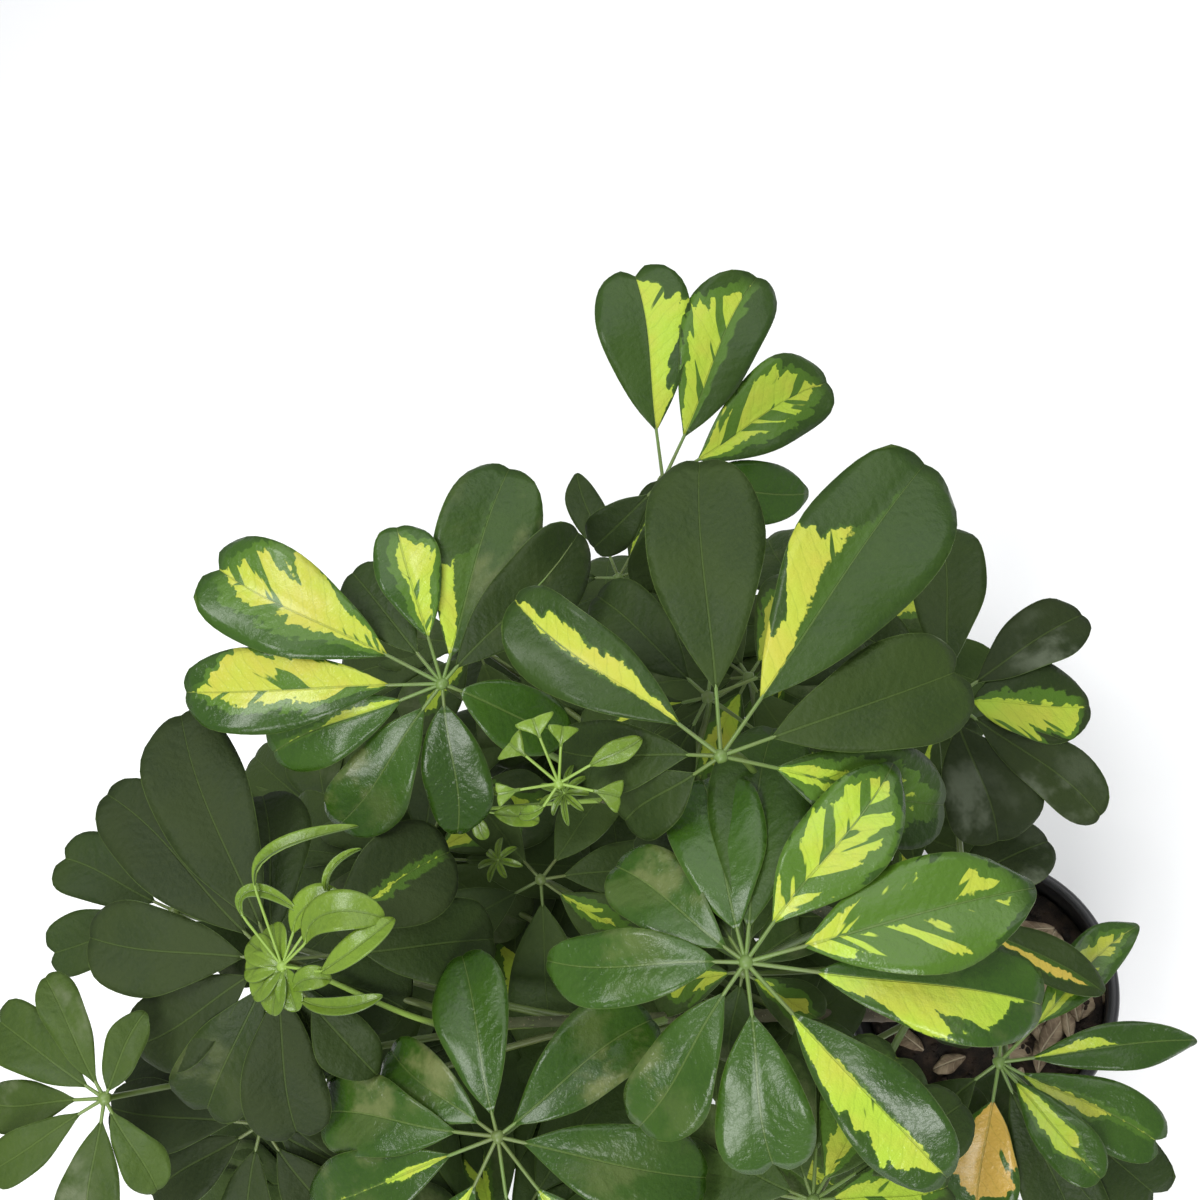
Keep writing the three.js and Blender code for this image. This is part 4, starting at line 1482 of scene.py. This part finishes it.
        Leaflet(-66, 16, 22, 72, 22, tip=Tip.OVAL, paint=Paint(0, 0.45, 1, inner=0.2, tan=0.7)),
        Leaflet(-112, 20, 14, 60, 34), Leaflet(62, 14, 16, 58, 32), Leaflet(102, 14, 16, 54, 32),
        Leaflet(146, 18, 14, 52, 30),
    ]),
    CompoundLeaf("young_left", (-227, 122, 440), (-90, 20), "b", 1, Tone.LIME, [
    ], "leaf_young", slim=0.75, soft=[
        SoftBlade(((-214, 151, 458), (-206, 159, 466), (-186, 149, 468), (-163, 141, 456)), 10, 40, 24),
        SoftBlade(((-227, 146, 452), (-225, 158, 456), (-211, 154, 456), (-207, 134, 446)), 7, 30),
        SoftBlade(((-215, 130, 442), (-206, 135, 450), (-194, 131, 450), (-189, 124, 446)), 16, 8),
        SoftBlade(((-192, 130, 446), (-190, 134, 454), (-178, 137, 456), (-168, 134, 452)), 6, 48),
        SoftBlade(((-212, 121, 444), (-200, 127, 457), (-184, 115, 457), (-177, 105, 446)), 18, 10),
        SoftBlade(((-213, 107, 442), (-202, 101, 450), (-184, 99, 452), (-174, 103, 444)), 13, 12),
        SoftBlade(((-229, 111, 438), (-222, 111, 443), (-216, 107, 443), (-212, 103, 438)), 11),
        SoftBlade(((-229, 108, 436), (-222, 93, 440), (-208, 83, 442), (-196, 81, 440)), 9, 32),
        SoftBlade.arched((-228, 123, 440), (-243, 134, 437), 2, 14),
        SoftBlade.arched((-228, 124, 440), (-235, 143, 438), 2, 14),
        SoftBlade.arched((-226, 124, 440), (-222, 142, 438), 2, 14),
        SoftBlade.arched((-228, 121, 440), (-246, 122, 436), 2, 14),
        SoftBlade.arched((-228, 120, 440), (-243, 110, 434), 2, 14),
        SoftBlade.arched((-226, 120, 440), (-233, 104, 434), 2, 13),
    ]),
    CompoundLeaf("young_top", (-84, 96, 455), (-90, 15), "c", 1, Tone.LIME, [
        Leaflet(68, -26, 22, 9, 17, tip=Tip.FAN), Leaflet(40, -24, 17, 9, 13, lean=30, tip=Tip.FAN),
        Leaflet(100, -18, 18, 9, 16, lean=-20, tip=Tip.FAN), Leaflet(151, -6, 16, 10, 10, tip=Tip.FAN),
        Leaflet(-13, -6, 16, 24, 10, tip=Tip.OVAL), Leaflet(-52, 4, 15, 12, 14, tip=Tip.FAN),
    ], "leaf_young", slim=0.75, soft=[
        SoftBlade(((-95, 94, 452), (-99, 93, 454), (-102, 95, 453), (-105, 100, 449)), 7, 20),
        *star((-86, 97, 443), 9, 13, 3.6),
    ]),
    CompoundLeaf("young_pair", (-132, 154, 380), (-90, 20), "c", 0.97, Tone.LIME, [
        Leaflet(-50, 12, 10, 22, 11, tip=Tip.OVAL), Leaflet(-110, 20, 4, 12, 8, tip=Tip.OVAL),
    ], "leaf_young", slim=0.65, soft=[
        SoftBlade(((-134, 156, 382), (-124, 157, 390), (-118, 152, 391), (-117, 147, 386)), 6, 40),
        *star((-144, 147, 336), 7, 12, 4.4),
    ]),
]


@dataclass(frozen=True)
class LowLeaf:
    """A leaf low in the crown, whose leaflets stand round its hub by one rule."""

    key: str
    hub: Place
    faces: tuple[float, float]
    stem: str
    at: float
    first: float
    count: int
    reach: float
    bow: Place = (0.0, 0.0, 0.0)
    longer: tuple[tuple[float, float], ...] = ()
    stalk_share: float = 0.14
    width_share: float = 0.66
    mean_size: float = 0.92
    size_swing: float = 0.1
    droop: float = 18.0
    droop_swing: float = 4.0
    longer_droop: float = 21.0
    longer_stalk: float = 0.26
    longer_width: float = 0.42

    def leaflets(self) -> list[Leaflet]:
        """Makes the ring of leaflets, a few of them streaked.

        Returns:
            The leaflets.
        """
        ring = []
        for i in range(self.count):
            size = self.reach * (self.mean_size + self.size_swing * math.sin(2.7 * i + self.first))
            droop = self.droop + self.droop_swing * math.cos(1.9 * i + self.first)
            length = size * (1 - self.stalk_share)
            streak = max(0.0, math.sin(2.1 * i + 0.7 * self.first) - 0.35)
            paint = Paint(0.9 * streak, 0.5 * streak, 0.85, middle=0.5 * streak, khaki=0.4)
            ring.append(Leaflet(
                self.first + 360 * i / self.count, droop, size * self.stalk_share, length,
                length * self.width_share, 0, Tip.ROUND if i % 3 else Tip.NOTCHED, paint,
            ))
        for azimuth, reach in self.longer:
            stalk, width = self.longer_stalk * reach, self.longer_width * reach
            ring.append(Leaflet(azimuth, self.longer_droop, stalk, reach - stalk, width))
        return ring

    def leaf(self) -> CompoundLeaf:
        """Makes the leaf with its leaflets.

        Returns:
            The leaf.
        """
        tone = Tone.INNER if self.count == 6 else Tone.LOW
        return CompoundLeaf(
            self.key, self.hub, self.faces, self.stem, self.at, tone, self.leaflets(), bow=self.bow,
        )


LOW_LEAVES: list[LowLeaf] = [
    LowLeaf("low_near", (-118, -66, 322), (-90, 8), "a", 0.6, 20, 7, 78, longer=(
        (135, 84), (48, 82), (-6, 82),
    )),
    LowLeaf("low_right", (-50, -111, 218), (-90, 6), "a", 0.3, 10, 6, 74, longer=((88, 70),)),
    LowLeaf("low_back", (62, 158, 276), (-90, 12), "c", 0.45, 30, 7, 76, longer=(
        (-58, 100), (-155, 104), (162, 108),
    )),
    LowLeaf("low_far", (-90, 262, 322), (-90, 22), "c", 0.7, 10, 6, 72, longer=((150, 92), (-72, 102))),
    LowLeaf("low_middle", (-182, 192, 306), (-80, 16), "b", 0.62, 50, 6, 80, longer=(
        (33, 96), (128, 100), (-139, 106), (-40, 88), (174, 112), (152, 104),
    )),
    LowLeaf("low_corner", (-252, 8, 300), (-70, 10), "b", 0.64, 25, 7, 78, longer=(
        (56, 120), (100, 108), (24, 114), (68, 112),
    )),
    LowLeaf("low_inner", (20, 64, 232), (-90, 6), "c", 0.34, 0, 6, 66, longer=(
        (117, 106), (164, 110), (-171, 114), (29, 112), (136, 102), (-35, 72),
    )),
    LowLeaf("low_side", (-220, 258, 282), (-80, 14), "b", 0.56, 15, 6, 80, longer=(
        (49, 118), (29, 124), (105, 84), (-152, 108), (-124, 110), (164, 82), (-52, 120), (-176, 106),
    )),
    LowLeaf("low_under", (-200, 98, 262), (-90, 8), "b", 0.5, 0, 6, 76, longer=(
        (133, 106), (62, 118), (40, 102), (-21, 92), (-16, 118), (152, 84), (-90, 94), (128, 100),
    )),
    LowLeaf("low_behind", (-66, 214, 262), (-90, 16), "c", 0.56, 40, 6, 80, longer=(
        (117, 116), (148, 102), (-125, 92), (-150, 112), (-60, 118), (51, 110), (-68, 60), (-176, 74),
    )),
    LowLeaf("low_edge", (-318, 92, 296), (-70, 14), "b", 0.68, 20, 6, 72, longer=(
        (111, 84), (40, 112), (148, 84),
    )),
    LowLeaf("low_core", (-146, 8, 234), (-90, 6), "a", 0.36, -5, 6, 80, longer=(
        (54, 106), (28, 108), (8, 104), (-104, 66),
    )),
    LowLeaf("low_heart", (-86, 42, 284), (-90, 8), "a", 0.62, -70, 5, 54, longer=((40, 66),)),
    LowLeaf("low_crown", (8, 132, 344), (-90, 12), "c", 0.62, 20, 6, 66, longer=((170, 84), (102, 100))),
]


@dataclass
class Pot:
    """A round nursery pot with a bead rim, a channel under its base and drain holes."""

    height: float = 130
    rim: float = 75
    base: float = 53
    wall: float = 1.8
    rim_width: float = 4.2
    rim_height: float = 8
    foot_edge: float = 3
    thickness: float = 5.4
    channel: tuple[float, float, float, float] = (24, 44, 3, 1.5)
    holes: int = 6
    hole_radius: float = 5
    bead: float = 1.6
    lip: float = 1.4
    sides: int = 128
    hole_sides: int = 32
    sharpest: float = 50

    def outer_radius(self, height: float) -> float:
        """Returns the radius of the outer wall at a height."""
        return self.base + (self.rim - self.rim_width - self.base) * height / self.height

    def inner_radius(self, height: float) -> float:
        """Returns the radius of the inner wall at a height."""
        return self.outer_radius(height) - self.wall

    def profile(self) -> list[Place]:
        """Lists the section's corners.

        Returns:
            The corners as (radius, height, rounding).
        """
        inner, outer, depth, slope = self.channel
        foot, floor = self.height - self.rim_height, self.thickness
        mouth = self.inner_radius(self.height)
        return [
            (0, 0, 0),
            (inner, 0, 0.6),
            (inner + slope, depth, 0.6),
            (outer - slope, depth, 0.6),
            (outer, 0, 0.6),
            (self.base - self.foot_edge, 0, 1.2),
            (self.base, self.foot_edge, 1.6),
            (self.outer_radius(foot), foot, 0.7),
            (self.rim - 0.8, foot, 0.4),
            (self.rim, foot + 2, 0.8),
            (self.rim, self.height - self.bead, 1.6),
            (self.rim - self.bead, self.height, 1.2),
            (mouth + self.lip, self.height, 0.9),
            (mouth, self.height - self.lip, 0.9),
            (self.inner_radius(floor + self.foot_edge), floor + self.foot_edge, 1.5),
            (self.inner_radius(floor) - self.foot_edge, floor, 1.5),
            (0, floor, 0),
        ]

    def rounded(self) -> list[Vector]:
        """Rounds the section's corners.

        Returns:
            The section's points in metres.
        """
        corners = self.profile()
        points = []
        for i, (radius, height, rounding) in enumerate(corners):
            here = Vector((radius, height))
            if rounding == 0:
                points.append(here)
                continue
            before, after = Vector(corners[i - 1][:2]) - here, Vector(corners[i + 1][:2]) - here
            cut = min(rounding, 0.45 * before.length, 0.45 * after.length)
            first, last = here + before.normalized() * cut, here + after.normalized() * cut
            for share in (0.0, 0.25, 0.5, 0.75, 1.0):
                points.append(first.lerp(here, share).lerp(here.lerp(last, share), share))
        return [Vector((p.x * MM, 0, p.y * MM)) for p in points]

    def build(self, finishes: Finishes) -> Piece:
        """Builds the pot over its frame node.

        Args:
            finishes: the plant's materials.

        Returns:
            The pot.
        """
        points = self.rounded()
        pot = from_points("nursery_pot", points, [(i, i + 1) for i in range(len(points) - 1)], [])
        apply_modifier(
            pot, "SCREW", angle=2 * math.pi, steps=self.sides, render_steps=self.sides,
            use_merge_vertices=True, merge_threshold=1e-6,
        )
        select_only(pot)
        bpy.ops.object.mode_set(mode="EDIT")
        bpy.ops.mesh.select_all(action="SELECT")
        bpy.ops.mesh.normals_make_consistent(inside=False)
        bpy.ops.object.mode_set(mode="OBJECT")
        middle = (self.channel[0] + self.channel[1]) / 2 * MM
        drills = []
        for i in range(self.holes):
            turn = 2 * math.pi * (i + 0.5) / self.holes
            bpy.ops.mesh.primitive_cylinder_add(
                vertices=self.hole_sides, radius=self.hole_radius * MM, depth=4 * self.thickness * MM,
                location=(middle * math.cos(turn), middle * math.sin(turn), 0),
            )
            drills.append(bpy.context.object)
        drill = join(drills, "drain_drills")
        apply_modifier(pot, "BOOLEAN", operation="DIFFERENCE", solver="EXACT", object=drill)
        bpy.data.objects.remove(drill)
        coat(pot, finishes.plastic)
        select_only(pot)
        bpy.ops.object.shade_smooth_by_angle(angle=math.radians(self.sharpest))
        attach(pot, "root")
        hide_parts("pot")
        return pot


@dataclass
class Soil:
    """Compost in the pot, with loose crumbs and fallen dry leaves on it.

    Each row of litter is a dry leaf: where it starts, its azimuth, droop, length, width and lean. The
    strewn ones lie at random between the limits given here, in millimetres, radians for the turn about the
    pot and degrees for the rest.
    """

    pot: Pot
    level: float = 112
    gap: float = 0.3
    rings: int = 34
    sides: int = 96
    crumbs: int = 520
    crumb_size: tuple[float, float] = (0.7, 2.3)
    crumb_stretch: tuple[float, float] = (0.6, 1.3)
    crumb_dents: tuple[float, float] = (0.8, 1.2)
    crumbs_clear: float = 3
    skirt: float = 6
    clod_height: float = 2
    mound_height: float = 1.6
    grain_height: float = 0.5
    litter: tuple[tuple[float, ...], ...] = (
        (16, 9, 0, 8, 22, 11, 0), (-22, 6, 40, 9, 22, 11, -15), (15, -23, 80, 7, 22, 11, -9),
        (5, 31, 120, 10, 22, 11, 10), (-28, -23, 160, 5, 22, 11, 15), (41, -3, 200, 11, 22, 11, -2),
        (40, -26, 300, 4, 26, 13, 20), (47, 14, 60, 6, 24, 12, -24), (28, -46, 20, 8, 25, 12, 18),
        (-8, -44, 210, 6, 27, 13, -20), (-46, -8, 100, 5, 22, 11, 26), (-34, 34, 330, 8, 25, 12, -12),
        (30, 44, 140, 5, 22, 11, 22), (52, -14, 95, 9, 20, 10, 30),
    )
    strewn: int = 34
    strewn_away: tuple[float, float] = (24, 66)
    strewn_turn: tuple[float, float] = (-1.9, 1.1)
    strewn_length: tuple[float, float] = (20, 36)
    strewn_across: tuple[float, float] = (40, 140)
    strewn_droop: tuple[float, float] = (2, 12)
    strewn_lean: tuple[float, float] = (-40, 40)
    strewn_width: float = 0.4
    curl: BladeForm = BladeForm(arch=70, fold=24, camber=0.75, wave=0.05, across=8, along=12)
    dry_stalk: float = 3
    dry_thickness: float = 0.45
    dry_lift: float = 1.2
    dry_layer: float = 0.1
    clear_of_wall: float = 9
    step_in: float = 0.94

    def height(self, x: float, y: float) -> float:
        """Works out how high the soil stands.

        Args:
            x: the place across.
            y: the place along.

        Returns:
            The height in millimetres.
        """
        clods = math.sin(x / 7.1 + 1.3) * math.cos(y / 6.3)
        ripple = 0.6 * math.sin((x + 2 * y) / 10.7)
        mound = self.mound_height * math.cos(x / 31) * math.cos(y / 31)
        grain = self.grain_height * math.sin(x / 1.9 + 2 * math.sin(y / 2.3)) * math.cos(y / 1.7)
        return self.level + self.clod_height * (clods + ripple) + mound + grain

    def bed(self, finishes: Finishes) -> Piece:
        """Builds the body of compost, closed below.

        Args:
            finishes: the plant's materials.

        Returns:
            The bed.
        """
        floor = self.pot.thickness + self.gap
        edge = self.pot.inner_radius(self.level) - self.gap
        foot = self.pot.foot_edge
        low = self.pot.inner_radius(floor + foot) - self.gap
        rows = [(low - foot, floor), (low, floor + foot + 1), (edge, self.level - self.skirt)]
        vertices = [Vector((0, 0, floor * MM))]
        for radius, z in rows:
            vertices += [self.point(radius, k, z) for k in range(self.sides)]
        for i in range(self.rings):
            radius = edge * (1 - (i + 0.5) / (self.rings + 0.5))
            vertices += [self.point(radius, k) for k in range(self.sides)]
        vertices.append(Vector((0, 0, self.height(0, 0) * MM)))
        faces = [(0, 1 + (k + 1) % self.sides, 1 + k) for k in range(self.sides)]
        loops = len(rows) + self.rings
        for i in range(loops - 1):
            for k in range(self.sides):
                a, b = 1 + i * self.sides + k, 1 + i * self.sides + (k + 1) % self.sides
                faces.append((a, b, b + self.sides, a + self.sides))
        last = 1 + (loops - 1) * self.sides
        faces += [(last + k, last + (k + 1) % self.sides, len(vertices) - 1) for k in range(self.sides)]
        bed = from_points("compost", vertices, [], faces, finishes.soil)
        bed.data.shade_smooth()
        return bed

    def point(self, radius: float, step: int, z: float | None = None) -> Vector:
        """Works out a point of a ring.

        Args:
            radius: the ring's radius in millimetres.
            step: the point's number in the ring.
            z: its height, or None for the soil's surface.

        Returns:
            The point in metres.
        """
        turn = 2 * math.pi * step / self.sides
        x, y = radius * math.cos(turn), radius * math.sin(turn)
        return Vector((x, y, self.height(x, y) if z is None else z)) * MM

    def crumble(self, finishes: Finishes) -> Piece:
        """Builds the loose crumbs as one mesh.

        Args:
            finishes: the plant's materials.

        Returns:
            The crumbs.
        """
        deselect()
        bpy.ops.mesh.primitive_ico_sphere_add(subdivisions=1, radius=1.0)
        seed = bpy.context.object
        shape = [v.co.copy() for v in seed.data.vertices]
        sides = [tuple(p.vertices) for p in seed.data.polygons]
        bpy.data.objects.remove(seed)
        chance = random.Random(7)
        edge = self.pot.inner_radius(self.level) - self.crumbs_clear
        vertices, faces = [], []
        for _ in range(self.crumbs):
            away, turn = edge * math.sqrt(chance.random()), chance.uniform(0, 2 * math.pi)
            x, y = away * math.cos(turn), away * math.sin(turn)
            size = chance.uniform(*self.crumb_size)
            stretch = Vector([chance.uniform(*self.crumb_stretch) for _ in range(3)])
            spin = Quaternion([chance.random() for _ in range(4)]).normalized()
            middle = Vector((x, y, self.height(x, y) + 0.3 * size))
            first = len(vertices)
            for corner in shape:
                bent = Vector([c * s * chance.uniform(*self.crumb_dents) for c, s in zip(corner, stretch)])
                vertices.append((spin @ bent * size + middle) * MM)
            faces += [tuple(first + v for v in side) for side in sides]
        return from_points("crumbs", vertices, [], faces, finishes.soil)

    def kept_inside(self, x: float, y: float, azimuth: float, length: float) -> tuple[float, float]:
        """Moves a dry leaf in until the pot's wall leaves room for all of it.

        Args:
            x: its middle's place across.
            y: its middle's place along.
            azimuth: the way it points, in degrees.
            length: how long it is.

        Returns:
            Where it starts.
        """
        edge = self.pot.inner_radius(self.level) - self.clear_of_wall
        turn = math.radians(azimuth)
        half = Vector((math.cos(turn), math.sin(turn))) * 0.5 * (length + self.dry_stalk + 1)
        middle = Vector((x, y))
        while max((middle + half).length, (middle - half).length) > edge:
            middle *= self.step_in
        start = middle - half
        return start.x, start.y

    def build(self, finishes: Finishes) -> Piece:
        """Builds the soil over its frame node.

        Args:
            finishes: the plant's materials.

        Returns:
            The soil with all that lies on it.
        """
        curled = BladeMaker(finishes, self.curl)
        pieces = [self.bed(finishes), self.crumble(finishes)]
        chance = random.Random(11)
        litter = list(self.litter)
        for _ in range(self.strewn):
            away, turn = chance.uniform(*self.strewn_away), chance.uniform(*self.strewn_turn)
            length = chance.uniform(*self.strewn_length)
            azimuth = math.degrees(turn) + chance.uniform(*self.strewn_across)
            start = self.kept_inside(away * math.cos(turn), away * math.sin(turn), azimuth, length)
            droop, width = chance.uniform(*self.strewn_droop), self.strewn_width * length
            litter.append((*start, azimuth, droop, length, width, chance.uniform(*self.strewn_lean)))
        for i, (x, y, azimuth, droop, length, width, lean) in enumerate(litter):
            dry = Leaflet(azimuth, droop, self.dry_stalk, length, width, lean, Tip.OVAL)
            leaf = curled.blade(f"dry_{i}", dry, Tone.OLIVE, (0.29 * i) % 1.0)
            bottom = self.height(x, y) + self.dry_lift + self.dry_layer * i
            leaf.data.transform(Matrix.Scale(MM, 4) @ Matrix.Translation(Vector((x, y, bottom))))
            coat(leaf, finishes.litter)
            apply_modifier(leaf, "SOLIDIFY", thickness=self.dry_thickness * MM, offset=0.0, use_rim=True)
            pieces.append(leaf)
        curled.close()
        soil = join(pieces, "compost_and_litter")
        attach(soil, "root")
        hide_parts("soil")
        return soil


@dataclass
class Studio:
    """A pale floor, soft lights and the camera."""

    camera_place: Place = (-0.023, -0.189, 0.999)
    camera_dip: float = 58.0
    camera_roll: float = -40.0
    lens: float = 45.0
    sensor: float = 36.0
    clip: tuple[float, float] = (0.01, 50.0)
    floor: Colour = Colour(254, 254, 254)
    floor_size: float = 12.0
    sky: tuple[float, float, float, float] = (0.95, 0.97, 1.0, 1.0)
    sky_strength: float = 0.6
    aim: Place = (-0.08, 0.06, 0.3)
    lamps: tuple[tuple[str, Place, float, float], ...] = (
        ("key", (-0.92, -1.1, 1.45), 0.7, 24),
        ("top", (-0.5, 0.25, 2.05), 0.5, 13),
        ("fill", (0.8, 0.4, 2.0), 1.6, 18),
    )

    def camera(self) -> Piece:
        """Places the camera and makes it the scene's.

        Returns:
            The camera.
        """
        deselect()
        bpy.ops.object.camera_add()
        camera = bpy.context.object
        camera.name = "camera"
        dip, roll = math.radians(self.camera_dip), math.radians(self.camera_roll)
        ahead = Vector((0, math.cos(dip), -math.sin(dip)))
        right = Vector((1, 0, 0))
        up = Vector((0, math.sin(dip), math.cos(dip)))
        x = right * math.cos(roll) + up * math.sin(roll)
        y = up * math.cos(roll) - right * math.sin(roll)
        turn = Matrix((x, y, -ahead)).transposed().to_4x4()
        camera.matrix_world = Matrix.Translation(Vector(self.camera_place)) @ turn
        camera.data.lens = self.lens
        camera.data.sensor_width = self.sensor
        camera.data.sensor_fit = "HORIZONTAL"
        camera.data.clip_start, camera.data.clip_end = self.clip
        bpy.context.scene.camera = camera
        return camera

    def lamp(self, name: str, place: Place, size: float, power: float) -> Piece:
        """Adds a square light that shines at the plant.

        Args:
            name: the light's name.
            place: where it stands, in metres.
            size: the length of its sides.
            power: its power in watts.

        Returns:
            The light.
        """
        deselect()
        bpy.ops.object.light_add(type="AREA", location=place)
        lamp = bpy.context.object
        lamp.name = name
        lamp.data.shape = "SQUARE"
        lamp.data.size = size
        lamp.data.energy = power
        aim = Vector(self.aim) - Vector(place)
        lamp.rotation_mode = "QUATERNION"
        lamp.rotation_quaternion = aim.to_track_quat("-Z", "Y")
        return lamp

    def build(self) -> None:
        """Builds the floor, the world, the lights and the camera."""
        deselect()
        bpy.ops.mesh.primitive_plane_add(size=self.floor_size)
        floor = bpy.context.object
        floor.name = "floor"
        coat(floor, Surface("Pale floor").finish(self.floor, 0.9))
        world = bpy.data.worlds.new("studio")
        world.use_nodes = True
        sky = world.node_tree.nodes["Background"]
        sky.inputs["Color"].default_value = self.sky
        sky.inputs["Strength"].default_value = self.sky_strength
        bpy.context.scene.world = world
        bpy.context.scene.view_settings.view_transform = "Standard"
        for lamp in self.lamps:
            self.lamp(*lamp)
        self.camera()


def main() -> None:
    """Builds the plant over its frame, then the studio round it."""
    logging.basicConfig(level=logging.INFO, format="%(message)s")
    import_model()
    deselect()
    finishes = Finishes(Effects())
    pot = Pot()
    made = [pot.build(finishes), Soil(pot).build(finishes)]
    made += [stem.build(finishes) for stem in STEMS.values()]
    maker = BladeMaker(finishes, BladeForm())
    made += [leaf.build(maker) for leaf in LEAVES + [low.leaf() for low in LOW_LEAVES]]
    maker.close()
    total = 0
    for piece in made:
        count = sum(len(p.vertices) - 2 for p in piece.data.polygons)
        total += count
        log.info("built %s with %d triangles", piece.name, count)
    log.info("%d pieces, %d triangles", len(made), total)
    Studio().build()


if __name__ == "__main__":
    main()
